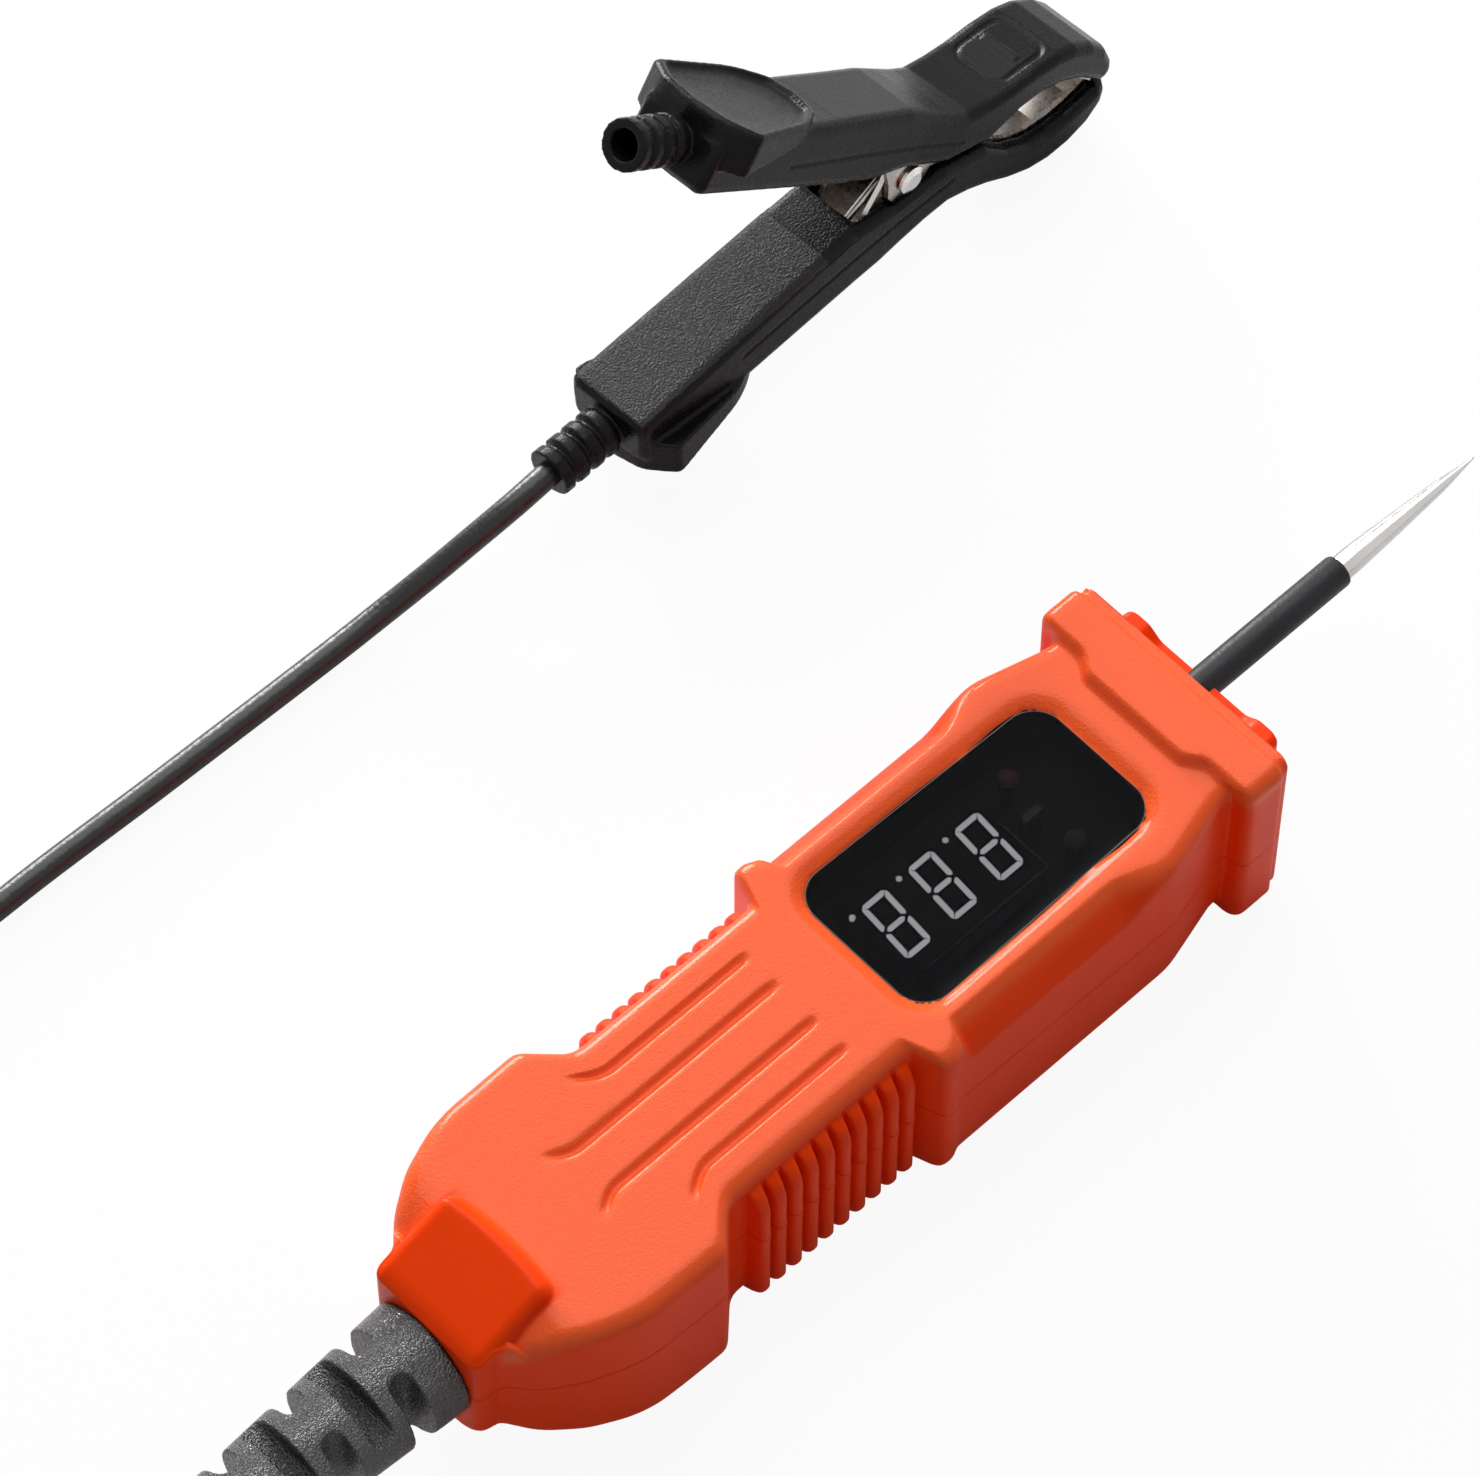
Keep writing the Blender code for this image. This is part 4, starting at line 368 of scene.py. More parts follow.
def rounded_rectangle(low, high, radius, count=8):
    """Points round a rectangle from low to high, each corner a quarter circle of count points."""
    a = np.radians(np.linspace(0, 90, count))
    corners = [(high[0], high[1], 0), (low[0], high[1], 90), (low[0], low[1], 180),
               (high[0], low[1], 270)]
    points = []
    for x, y, start in corners:
        t = a + math.radians(start)
        cx = x - radius * (1 if x == high[0] else -1)
        cy = y - radius * (1 if y == high[1] else -1)
        points.append(np.stack([cx + radius * np.cos(t), cy + radius * np.sin(t)], -1))
    return np.vstack(points)


inner = rounded_rectangle((0.01163, 0.00062), (0.02652, 0.00818), 0.0016)
outer = rounded_rectangle((0.01109, 0.00002), (0.02711, 0.00878), 0.0021)
turn = math.radians(200)
strap_rings = []
HALF_BAND = 0.003
for side, loop in ((-HALF_BAND, inner), (-HALF_BAND, outer), (HALF_BAND, outer), (HALF_BAND, inner),
                   (-HALF_BAND, inner)):
    x, y = loop[:, 0], np.full(len(loop), side)
    strap_rings.append(np.stack([COIL[0] + x * math.cos(turn) - y * math.sin(turn),
                                 COIL[1] + x * math.sin(turn) + y * math.cos(turn),
                                 loop[:, 1]], -1))
strap = mesh_piece("coil_strap", *skin(np.array(strap_rings), caps=False), webbing,
                   stands_for=("cord_tie",), slot="strap")
bm = bmesh.new()
bm.from_mesh(strap.data)
bmesh.ops.remove_doubles(bm, verts=bm.verts, dist=1e-7)
bmesh.ops.recalc_face_normals(bm, faces=bm.faces)
bm.to_mesh(strap.data)
bm.free()

# Case. Two shells of bright orange moulded plastic with a fine grain meet in a joint round the
# side. Head, grip and tail are one loft, and ribs, bezel, grooves, flange and collar belong to it.

# the top faces get a lighter, yellower orange than the sides: painted light from above
orange = grained(material("orange_plastic", (0.9, 0.06, 0.003), 0.36, gloss=0.08), 3300.0,
                 0.00006, (0.9, 0.046, 0.001), (0.97, 0.058, 0.002), (0.29, 0.39),
                 mask="grain", painted_light=(0.96, 0.105, 0.014))
# the grained faces carry a faint sheen
tree = orange.node_tree
shader = tree.nodes["Principled BSDF"]
shader.inputs["Coat Roughness"].default_value = 0.12
sheen = number_step(tree, "MULTIPLY", tree.nodes["Attribute"].outputs["Fac"], 0.25)
tree.links.new(sheen, shader.inputs["Coat Weight"])

# plan corners from nose to tail in mm: x, half width, corner radius, top and bottom there
CORNERS = [
    (39.8, 11.8, 0, 21.9, 5.4), (39.8, 13.2, 0.8, 23.1, 4.0), (36.5, 13.2, 0, 23.1, 4.0),
    (36.5, 17.9, 0.7, 28.2, 0.8), (34.9, 17.9, 0, 28.2, 0.8), (34.9, 18.5, 0.9, 29.0, 0.0),
    (28.8, 18.5, 1.7, 29.0, 0.0), (28.8, 15.5, 0, 29.0, 0.0), (27.0, 15.5, 6, 29.0, 0.0),
    (17.0, 18.2, 12, 29.0, 0.0), (-20.0, 18.2, 3, 29.0, 0.0), (-21.2, 18.9, 1.2, 29.0, 0.0),
    (-23.0, 18.9, 0.9, 29.0, 0.0), (-24.8, 13.9, 1.0, 29.0, 0.0), (-54.4, 13.9, 4, 29.0, 0.0),
    (-59.4, 18.8, 1.8, 29.0, 0.0), (-72.5, 18.6, 20, 29.0, 0.0), (-79.5, 15.9, 16, 29.0, 0.0),
    (-84.3, 12.9, 10, 29.0, 0.0), (-86.9, 9.8, 0.8, 29.0, 0.0), (-87.7, 9.2, 0, 29.0, 0.0),
    (-91.0, 9.2, 1.8, 29.0, 0.0), (-91.0, 5.0, 0, 29.0, 1.2)]


def rounded_plan(corners):
    """Corner points with an arc of the given radius in plan, top and bottom carried along."""
    rows = []
    for i, (x, w, radius, top, low) in enumerate(corners):
        here = np.array([x, w])
        if not radius:
            rows.append([(x, w, top, low)])
            continue
        before = np.array(corners[i - 1][:2]) - here
        after = np.array(corners[i + 1][:2]) - here
        lb, la = np.linalg.norm(before), np.linalg.norm(after)
        half = math.acos(np.clip(before @ after / (lb * la), -1, 1)) / 2
        reach = min(radius / math.tan(half), 0.49 * lb, 0.49 * la)
        t = np.linspace(0, 1, 12)[:, None]
        start, end = here + before / lb * reach, here + after / la * reach
        arc = (1 - t) ** 2 * start + 2 * t * (1 - t) * here + t ** 2 * end
        rows.append([(px, pw, top, low) for px, pw in arc])
    return np.array([row for group in rows for row in group])


plan = rounded_plan(CORNERS)
run = np.concatenate([[0], np.cumsum(np.linalg.norm(np.diff(plan[:, :3], axis=0), axis=1))])
dense = np.arange(0, run[-1], 0.05)
plan = np.stack([np.interp(dense, run, plan[:, i]) for i in range(4)], -1)
bell = np.exp(-0.5 * (np.arange(-24, 25) * 0.05 / 0.28) ** 2)
bell /= bell.sum()
plan = np.stack([np.convolve(np.pad(plan[:, i], 24, mode="edge"), bell, "valid")
                 for i in range(4)], -1)

FIRST_RIB, RIB_PITCH, RIB_COUNT = -26.4, 2.68, 10
RIB_REACH, RIB_HALF = 2.5, 1.03
CASE_SHARP = 58.0
RIB_MIDDLES = FIRST_RIB - RIB_PITCH * np.arange(RIB_COUNT)
# sections across each rib, from the valley in front of it over its round back
across = np.array([1.34, 1.04, 1.0, 0.94, 0.84, 0.68, 0.46, 0.18, -0.18, -0.46, -0.68, -0.84, -0.94,
                   -1.0, -1.04])
marks = (RIB_MIDDLES[:, None] + across).ravel()
first = dense[np.argmin(np.abs(plan[:, 0] - marks.max()) + (dense < 40) * 99)]
last = dense[np.argmin(np.abs(plan[:, 0] - marks.min()) + (dense < 40) * 99)]
inside = np.interp(-marks, -plan[dense > 40, 0], dense[dense > 40])
spread = np.concatenate([np.linspace(0, first, int(first / 0.36), endpoint=False), inside,
                         np.linspace(last, dense[-1], int((dense[-1] - last) / 0.42))[1:]])
stations = np.unique(np.round(spread, 4))
X, W, TOP, BASE = (np.interp(stations, dense, plan[:, i])[:, None] for i in range(4))

JOINT_GAP = 0.07
BACK = 7.2 * np.clip((-62.0 - X) / 29.0, 0, None) ** 2
JOINT = 13.1 + 4.5 * np.clip((26.0 - X) / 102.0, 0, 1)
from_rib = np.abs(X - RIB_MIDDLES[None, :]) / RIB_HALF
RIB = np.max(np.sqrt(np.clip(1 - from_rib ** 4, 0, 1)), axis=1)[:, None]
WINDOW_X, WINDOW_HALF, WINDOW_CORNER = 0.35, 20.7, 4.5


def window_distance(x, y):
    """Distance from the window's outline, a rounded rectangle that narrows to the front."""
    half = 11.35 - 0.35 * np.clip((x - WINDOW_X) / WINDOW_HALF, -1, 1)
    dx = np.abs(x - WINDOW_X) - (WINDOW_HALF - WINDOW_CORNER)
    dy = np.abs(y) - (half - WINDOW_CORNER)
    past = np.hypot(np.maximum(dx, 0), np.maximum(dy, 0))
    return past + np.minimum(np.maximum(dx, dy), 0) - WINDOW_CORNER


def groove_line(x, which):
    """Half spacing of a pair of grooves at x: straight along the grip, then swept outwards."""
    near, end, straight, rear = ((3.4, 5.4, -62.0, -68.0), (8.6, 11.0, -52.0, -58.5))[which]
    return near + (end - near) * step_up(-x, -straight, -rear) ** 1.5


def tail_drop(x):
    """How far the deck falls towards the tail."""
    return 6.0 * np.clip((-78.0 - x) / 11.0, 0, 1) ** 2


def deck(x, y, top):
    """Height of the upper skin at x, y: deck, tail drop, flange step, nose saddle, collar, bezel
    and grooves, each added to or blended with the one before."""
    a = np.abs(y)
    z = top - tail_drop(x) + 0 * y
    tab = 26.8 + 1.9 * step_up(a, 7.6, 11.4)
    z = z + 1.5 * step_up(x, tab - 0.6, tab + 0.9)
    z = np.where(x > 36.4, z + 1.5 * step_up(a, 7.0, 10.0) * step_up(x, 36.4, 36.8), z)
    bowed = x + 1.1 * (a / 9.2) ** 2
    ramp = 28.7 + 1.05 * np.clip(-76.2 - bowed, 0, None)
    slope = 31.4 - 0.4 * np.clip(-79.0 - x, 0, None)
    crown = 0.5 * (ramp + slope - np.hypot(ramp - slope, 0.5))
    out = np.hypot(np.clip(bowed + 78.8, 0, None), np.clip(a - 6.8, 0, None)) - 2.4
    crown = crown - 1.4 * (1 - np.sqrt(1 - (np.clip(out + 1.6, 0, 1.6) / 1.6) ** 2))
    crown = crown - 5.0 * np.clip(out, 0, None)
    crown = crown - 1.5 * (1 - np.sqrt(1 - (0.8 * np.clip((-89.0 - x) / 2.0, 0, 1)) ** 2))
    z = np.where(x < -70, 0.5 * (z + crown + np.hypot(z - crown, 0.4)), z)
    far = window_distance(x, y)
    cove = 0.95 * (1 - np.clip(far / 2.5, 0, 1)) ** 1.7
    z = z - np.where(far < 2.5, cove, 0)
    z = np.where(far < 0, z - 6.5 * step_up(-far, 0.15, 0.9), z)
    for which, (start, end) in enumerate(((-29.5, -67.5), (-29.5, -58.3))):
        off = (a - groove_line(x, which)) / 0.75
        fade = step_up(-x, -start, -start + 2.5) * (1 - step_up(-x, -end - 3.0, -end))
        z = z - 0.62 * fade * np.clip(1 - off ** 2, 0, 1)
    return z


g1, g2 = groove_line(X, 0), groove_line(X, 1)
g2 = g2 + (9.2 - g2) * step_up(-X, 68.0, 75.0)
head = step_up(X, -20.0, -18.2) * (1 - step_up(X, 8.0, 16.5))
EDGE = 2.4 + 1.5 * head + 0 * X
EDGE = np.where(X > 36.2, 1.2, np.where(X > 28.7, 2.0, EDGE))
EDGE = EDGE - 1.9 * step_up(-X, 85.0, 87.5)
POWER = 2.0 - 0.9 * head
limit = np.minimum(1.0, (W - EDGE - 0.8) / (g2 + 0.8))
anchors = np.concatenate([0 * X, (g1 - 0.8) * limit, (g1 + 0.8) * limit, (g2 - 0.8) * limit,
                          (g2 + 0.8) * limit, W - EDGE], 1)
q = np.concatenate([np.linspace(0, 1, 5, endpoint=False), np.linspace(1, 2, 8, endpoint=False),
                    np.linspace(2, 3, 7, endpoint=False), np.linspace(3, 4, 8, endpoint=False),
                    np.linspace(4, 5, 10)])[None, :]
Y = sum(np.clip(q - k, 0, 1) * (anchors[:, k + 1:k + 2] - anchors[:, k:k + 1]) for k in range(5))
Z = deck(X, Y, TOP)
shoulder = Z[:, -1:]
DROP = EDGE * (1 + 0.35 * head)
bend = np.radians(np.linspace(0, 90, 8))[None, 1:]
arc_y = W - EDGE + EDGE * np.sin(bend) ** (2 / POWER)
arc_z = shoulder - DROP + DROP * np.clip(np.cos(bend), 0, 1) ** (2 / POWER)
fall = np.concatenate([np.linspace(0, 0.42, 12), np.linspace(0.5, 1.0, 6)])[None, 1:]
foot = JOINT + JOINT_GAP
side_z = shoulder - DROP - (shoulder - DROP - foot) * fall
arched = 1 - np.clip(1 - (shoulder - DROP - 0.3 - side_z) / 4.2, 0, 1) ** 2
side_y = W + RIB_REACH * RIB * np.sqrt(np.clip(arched, 0, 1)) * (side_z < shoulder - DROP - 0.3)
nub = 0.12 * RIB * np.exp(-((side_z - foot) / 0.35) ** 2)
half_y = np.concatenate([Y, arc_y, side_y + nub], 1)
half_z = np.concatenate([Z, arc_z, side_z], 1)
closing = np.linspace(1, -1, 9)[None, 1:-1]


def whole_ring(half_y, half_z, close_z):
    """Rings round the case: half a section from the middle outwards, its mirror image, and a
    straight run back along the joint."""
    y = np.concatenate([half_y[:, ::-1][:, :-1], -half_y, -half_y[:, -1:] * closing], 1)
    z = np.concatenate([half_z[:, ::-1][:, :-1], half_z, close_z + 0 * closing], 1)
    x = np.broadcast_to(X, y.shape)
    return np.stack([x * 0.001 + HOME, y * 0.001, z * 0.001], -1)


upper_case = mesh_piece("upper_case", *skin(whole_ring(half_y, half_z, foot)), orange,
                        stands_for=("upper_shell",), slot="case", sharp=CASE_SHARP)


def paint(mesh, name, values):
    """Store one number for each point of a mesh under a name that its material reads."""
    mesh.attributes.new(name, "FLOAT", "POINT").data.foreach_set("value", np.asarray(values, float))


def points_of(mesh):
    """The points of a mesh as an array."""
    flat = np.empty(3 * len(mesh.vertices))
    mesh.vertices.foreach_get("co", flat)
    return flat.reshape(-1, 3)


# the grain mask marks the top faces: stronger grain, the sheen and the lighter painted-light colour; the
# sides and the collar keep the darker base
spot = points_of(upper_case.data) * 1000 - (HOME * 1000, 0, 0)
on_collar = step_up(-spot[:, 0], 76.0, 79.0) * (1 - step_up(np.abs(spot[:, 1]), 9.2, 10.0))
level = 29.0 - tail_drop(spot[:, 0])
paint(upper_case.data, "grain", step_up(spot[:, 2] - level, -2.4, -0.5) * (1 - on_collar))

# painted shade: the opening under the window, a box in the case's own coordinates, is painted near black
# for the dark inside of the case
split = tree.nodes.new("ShaderNodeSeparateXYZ")
tree.links.new(tree.nodes["Texture Coordinate"].outputs["Object"], split.inputs[0])
inside = None
for axis, middle, reach in (("X", HOME + 0.00035, 0.0209), ("Y", 0.0, 0.0121),
                            ("Z", 0.0243, 0.00369)):
    near = number_step(tree, "COMPARE", split.outputs[axis], middle, reach)
    inside = number_step(tree, "MULTIPLY", inside, near) if inside else near
shader = tree.nodes["Principled BSDF"]
shade = colour_mix(tree, inside, shader.inputs["Base Color"].links[0].from_socket,
                   (0.004, 0.004, 0.004, 1.0))
tree.links.new(shade, shader.inputs["Base Color"])

low = np.maximum(BASE, BACK)
BELLY = np.where(X > 28.7, 1.3, 3.4)
brim = JOINT - JOINT_GAP
down = np.linspace(0, 1, 9)[None, :-1]
side_z = brim - (brim - low - BELLY) * down
nub = 0.12 * RIB * np.exp(-((side_z - brim) / 0.35) ** 2)
bend = np.radians(np.linspace(0, 90, 10))[None, :]
arc_y = W - BELLY + (BELLY + RIB_REACH * RIB) * np.cos(bend)
arc_z = low + BELLY * (1 - np.sin(bend))
flat = np.linspace(1, 0, 9)[None, 1:]
side_y = W + RIB_REACH * RIB + nub + 0 * side_z
half_y = np.concatenate([side_y, arc_y, (W - BELLY) * flat], 1)[:, ::-1]
half_z = np.concatenate([side_z, arc_z, low + 0 * flat], 1)[:, ::-1]
lower_case = mesh_piece("lower_case", *skin(whole_ring(half_y, half_z, brim)), orange,
                        stands_for=("lower_shell",), slot="case", sharp=CASE_SHARP)


def shaped(piece, modifiers):
    """Run modifiers, each a type and its settings, on a piece and keep their result as its mesh."""
    for kind, settings in modifiers:
        modifier = piece.modifiers.new(kind.lower(), kind)
        for key, value in settings.items():
            setattr(modifier, key, value)
    bpy.context.view_layer.update()
    mesh = bpy.data.meshes.new_from_object(piece.evaluated_get(bpy.context.evaluated_depsgraph_get()))
    piece.modifiers.clear()
    piece.data = mesh
    return piece


def cutter(name, verts, faces):
    """A loose solid that is cut from a piece or joined to it, and then removed."""
    solid = bpy.data.objects.new(name, plain_mesh(name, verts, faces))
    bpy.context.scene.collection.objects.link(solid)
    return solid


def turned_rings(profile, place, sides=48):
    """Rings of a turned shape: each (along, radius) of the profile becomes a circle round the X
    axis, moved to its place by a matrix in mm."""
    p = np.asarray(profile, float)
    a = np.linspace(0, 2 * math.pi, sides, endpoint=False)
    rings = np.stack([np.broadcast_to(p[:, :1], (len(p), sides)), p[:, 1:] * np.cos(a),
                      p[:, 1:] * np.sin(a)], -1)
    matrix = np.array(place)
    return rings @ matrix[:3, :3].T + matrix[:3, 3]


def to_row(points):
    """From the case's own mm to the row frame."""
    return points * 0.001 + np.array([HOME, 0, 0])


def cut_all(piece, solids):
    """Cut loose solids from a piece one after another."""
    for solid in solids:
        cut = {"operation": "DIFFERENCE", "solver": "EXACT", "object": solid}
        shaped(piece, [("BOOLEAN", cut)])
        bpy.data.objects.remove(solid)
    piece.data.shade_smooth()
    return piece


upright = Matrix.Rotation(-math.pi / 2, 4, "Y")
screw_places = [(x, side * y) for x, y in ((24.4, 9.6), (-64.5, 11.5)) for side in (1, -1)]
wells = []
for x, y in screw_places:
    well_line = Matrix.Translation((x, y, 0)) @ upright
    wells.append(cutter("well", *skin(to_row(turned_rings([(-3, 2.6), (8.2, 2.6)], well_line)))))
cut_all(lower_case, wells)
lower_case.data.set_sharp_from_angle(angle=math.radians(CASE_SHARP))

# Screws. Four plated cross-head screws, deep in the back, hold the shells together.

plated = grained(material("plated_steel", (0.5, 0.49, 0.47), 0.3, 1.0), 3000.0, 0.00001,
                 (0.42, 0.41, 0.4), (0.55, 0.54, 0.52), (0.28, 0.4))


def dress(node, finish):
    """Give a solid of the frame its finish."""
    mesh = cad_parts[node].data
    mesh.materials.clear()
    mesh.materials.append(finish)


for number in (1, 2, 3, 4):
    dress(f"case_screw_{number}", plated)

# Window. A plate of smoked, polished plastic lies in the bezel, and the display shows through.

smoked = material("smoked_window", (0.003, 0.003, 0.004), 0.08, gloss=0.03)
tree = smoked.node_tree
shader = tree.nodes["Principled BSDF"]
shader.inputs["Alpha"].default_value = 0.55
CORNER_POINTS = 14


def window_ring(grow, z):
    """The window's outline in plan, grown by some width, at one height."""
    front, rear = 21.05 + grow, -20.35 - grow
    radius = WINDOW_CORNER + grow
    a = np.radians(np.linspace(0, 90, CORNER_POINTS))
    loop = []
    for x, half, start, sx, sy in ((front, 11.0, 0, -1, -1), (rear, 11.7, 90, 1, -1),
                                   (rear, 11.7, 180, 1, 1), (front, 11.0, 270, -1, 1)):
        y = (half + grow) * -sy
        t = a + math.radians(start)
        loop.append(np.stack([x + sx * radius + radius * np.cos(t), y + sy * radius
                              + radius * np.sin(t), np.full(CORNER_POINTS, z)], -1))
    return np.vstack(loop)


plate = to_row(np.array([window_ring(-0.15, 27.1), window_ring(0, 27.25), window_ring(0, 27.95),
                         window_ring(0, 28.0), window_ring(-0.16, 28.1), window_ring(-0.2, 28.1)]))
window = mesh_piece("window_plate", *skin(plate), smoked, stands_for=("display_window",),
                    slot="window", sharp=50.0)
# painted glint: the rings round the plate's top edge get a pale colour for the light that its bevel
# catches
ring_number = np.arange(len(window.data.vertices)) // (4 * CORNER_POINTS)
paint(window.data, "edge", np.isin(ring_number, (3, 4)))
glint = tree.nodes.new("ShaderNodeAttribute")
glint.attribute_name = "edge"
painted_glint = colour_mix(tree, glint.outputs["Fac"], (0.003, 0.003, 0.004, 1.0), (0.3, 0.28, 0.26, 1.0))
tree.links.new(painted_glint, shader.inputs["Base Color"])

# Display. A dark block with three seven-segment digits and their points, which read towards the
# probe; two thin pale bars where its front cover ends are a painted highlight on that edge.

block = grained(material("display_block", (0.002, 0.002, 0.002), 0.7, gloss=0.02), 2000.0, 0.00001,
                (0.001, 0.001, 0.001), (0.002, 0.002, 0.002), (0.7, 0.8))
# pale grey for the painted highlight on the edge of the display's cover
edge_highlight = grained(material("display_rim", (0.3, 0.3, 0.3), 0.6), 2000.0, 0.00001,
              (0.22, 0.22, 0.22), (0.4, 0.4, 0.4), (0.5, 0.65))
pale = grained(material("display_segment", (0.72, 0.73, 0.74), 0.5), 5000.0, 0.00002,
               (0.62, 0.63, 0.64), (0.9, 0.91, 0.92), (0.45, 0.6))
# painted light: the unlit segments glow a little, so that they read bright under the smoked window
painted_glow = pale.node_tree.nodes["Principled BSDF"]
painted_glow.inputs["Emission Color"].default_value = (0.85, 0.87, 0.9, 1.0)
painted_glow.inputs["Emission Strength"].default_value = 1.45


def prisms(outlines, low, high):
    """Points and faces of upright prisms over a list of plan outlines of equal length."""
    flat = np.asarray(outlines, float)
    k, p = flat.shape[:2]
    verts = np.concatenate([np.concatenate([flat, np.full((k, p, 1), z)], -1)
                            for z in (low, high)], 1)
    base = np.arange(k)[:, None] * 2 * p
    j = np.arange(p)[None, :]
    n = (j + 1) % p
    sides = np.stack([base + j, base + n, base + p + n, base + p + j], -1).reshape(-1, 4).tolist()
    return verts.reshape(-1, 3), sides + (base + p + j).tolist() + (base + j)[:, ::-1].tolist()


def digit(middle):
    """The seven mitred bars of one digit, as plan outlines of six points each."""
    # half width, half height, bar thickness, step back from a corner and cut at a bar's outer end
    w, h, t, c, n = 2.1, 4.6, 0.72, 0.27, 0.24
    bars = [[(-w + c + n, side * h), (w - c - n, side * h), (w - c, side * (h - n)),
             (w - c - t + n, side * (h - t)), (-w + c + t - n, side * (h - t)), (-w + c, side * (h - n))]
            for side in (-1, 1)]
    bars.append([(-w + t / 2 + c, 0), (-w + t + c, -t / 2), (w - t - c, -t / 2), (w - t / 2 - c, 0),
                 (w - t - c, t / 2), (-w + t + c, t / 2)])
    for sx in (-1, 1):
        for sy in (-1, 1):
            bars.append([(sx * w, sy * (h - c - n)), (sx * w, sy * (c + n)), (sx * (w - n), sy * c),
                         (sx * (w - t), sy * (t / 2 + c)), (sx * (w - t), sy * (h - c - t)),
                         (sx * (w - n), sy * (h - c))])
    bars = np.array(bars)
    return np.stack([middle + bars[..., 0] + 0.08 * bars[..., 1], 0.25 + bars[..., 1]], -1)


middles = (-13.25, -5.35, 2.55)
a = np.linspace(0, 2 * math.pi, 6, endpoint=False)
dots = [np.stack([m - 3.25 + 0.42 * np.cos(a), 0.25 + 4.3 + 0.42 * np.sin(a)], -1)
        for m in middles]
verts, faces = prisms(np.concatenate([digit(m) for m in middles] + [np.array(dots)]), 26.3, 26.78)
mesh_piece("display_digits", to_row(verts), faces, pale, slot="module")
# painted highlight: two thin pale bars along the near and front edges of the cover
verts, faces = prisms(np.array([
    [(-15.0, -6.6), (5.9, -6.6), (5.9, -6.66), (5.9, -6.7), (-4.0, -6.69), (-15.0, -6.63)],
    [(5.86, -6.6), (5.86, -3), (5.86, 2.0), (5.9, 2.0), (5.92, -3), (5.92, -6.6)]]), 26.3, 26.74)
mesh_piece("display_edge", to_row(verts), faces, edge_highlight, slot="module")
x0, x1, y0, y1 = -16.55, 5.95, -6.6, 7.4
loop = rounded_rectangle((x0, y0), (x1, y1), 0.25, 4)
shrunk = rounded_rectangle((x0 + 0.2, y0 + 0.2), (x1 - 0.2, y1 - 0.2), 0.1, 4)
block_rings = [np.concatenate([outline, np.full((len(outline), 1), z)], -1)
               for outline, z in ((loop, 17.3), (loop, 26.5), (shrunk, 26.68))]
mesh_piece("display_block", *skin(to_row(np.array(block_rings))), block,
           stands_for=("display_module",), slot="module")

# Lamps. A red and a green round lamp and a clear bar stand beside the digits, all unlit; only
# their crowns keep their colour, and the rest is painted near black, painted shade under the window.

CROWN_DEPTH = 0.0011
for node, name, colour in (("led_red", "red_resin", (0.45, 0.13, 0.17)),
                           ("led_green", "green_resin", (0.14, 0.13, 0.13)),
                           ("led_bar", "clear_resin", (0.11, 0.12, 0.11))):
    finish = grained(material(name, colour, 0.3), 1500.0, 0.00001,
                     tuple(0.8 * c for c in colour), tuple(1.2 * c for c in colour), (0.25, 0.35))
    dress(node, finish)
    tree = finish.node_tree
    # painted shade: below its crown each lamp is painted near black
    height = tree.nodes.new("ShaderNodeSeparateXYZ")
    tree.links.new(tree.nodes["Texture Coordinate"].outputs["Object"], height.inputs[0])
    lamp_top = max(v.co.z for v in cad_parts[node].data.vertices)
    crown = number_step(tree, "GREATER_THAN", height.outputs["Z"], lamp_top - CROWN_DEPTH)
    shader = tree.nodes["Principled BSDF"]
    shown = colour_mix(tree, crown, (0.002, 0.002, 0.002, 1.0),
                       shader.inputs["Base Color"].links[0].from_socket)
    tree.links.new(shown, shader.inputs["Base Color"])

# Board, chip, buzzer and inner leads, closed in by the case.

laminate = grained(material("board_laminate", (0.01, 0.025, 0.018), 0.5), 900.0, 0.00002,
                   (0.008, 0.02, 0.014), (0.014, 0.034, 0.024), (0.4, 0.55))
resin = grained(material("chip_resin", (0.02, 0.02, 0.02), 0.6), 2500.0, 0.00003,
                (0.015, 0.015, 0.015), (0.025, 0.025, 0.025), (0.5, 0.65))
brass = grained(material("brass", (0.7, 0.5, 0.22), 0.3, 1.0), 2500.0, 0.00001,
                (0.62, 0.43, 0.18), (0.75, 0.55, 0.26), (0.25, 0.35))
for node, finish in (("circuit_board", laminate), ("controller_chip", resin), ("buzzer", resin),
                     ("probe_terminal", brass), ("probe_lead", vinyl), ("earth_lead", vinyl)):
    dress(node, finish)

# Probe. A bright plated steel rod of 3.5 mm, ground to a needle point, in a smooth black sleeve.

probe_steel = grained(material("probe_steel", (0.58, 0.56, 0.54), 0.16, 1.0), 900.0, 0.000004,
                      (0.42, 0.4, 0.39), (0.74, 0.73, 0.71), (0.12, 0.2))
sleeve_rubber = grained(material("sleeve_rubber", (0.014, 0.014, 0.016), 0.45, gloss=0.2), 2200.0,
                        0.00002, (0.009, 0.009, 0.011), (0.022, 0.022, 0.026), (0.38, 0.48))
probe_line = Matrix.Translation((0, 0, 23.4))
taper = np.linspace(0, 1, 14)
rod_profile = np.concatenate([
    [(23.9, 1.45), (24.2, 1.75), (65.2, 1.75)],
    np.stack([66.0 + 16.5 * taper, 1.75 - 0.9 * taper ** 1.15], -1),
    np.stack([82.5 + 6.0 * taper[1:], 0.85 - 0.75 * taper[1:] ** 1.05], -1), [(88.6, 0.03)]])
mesh_piece("probe_needle", *skin(to_row(turned_rings(rod_profile, probe_line, 40))), probe_steel,
           stands_for=("probe_rod",), slot="probe", sharp=60.0)
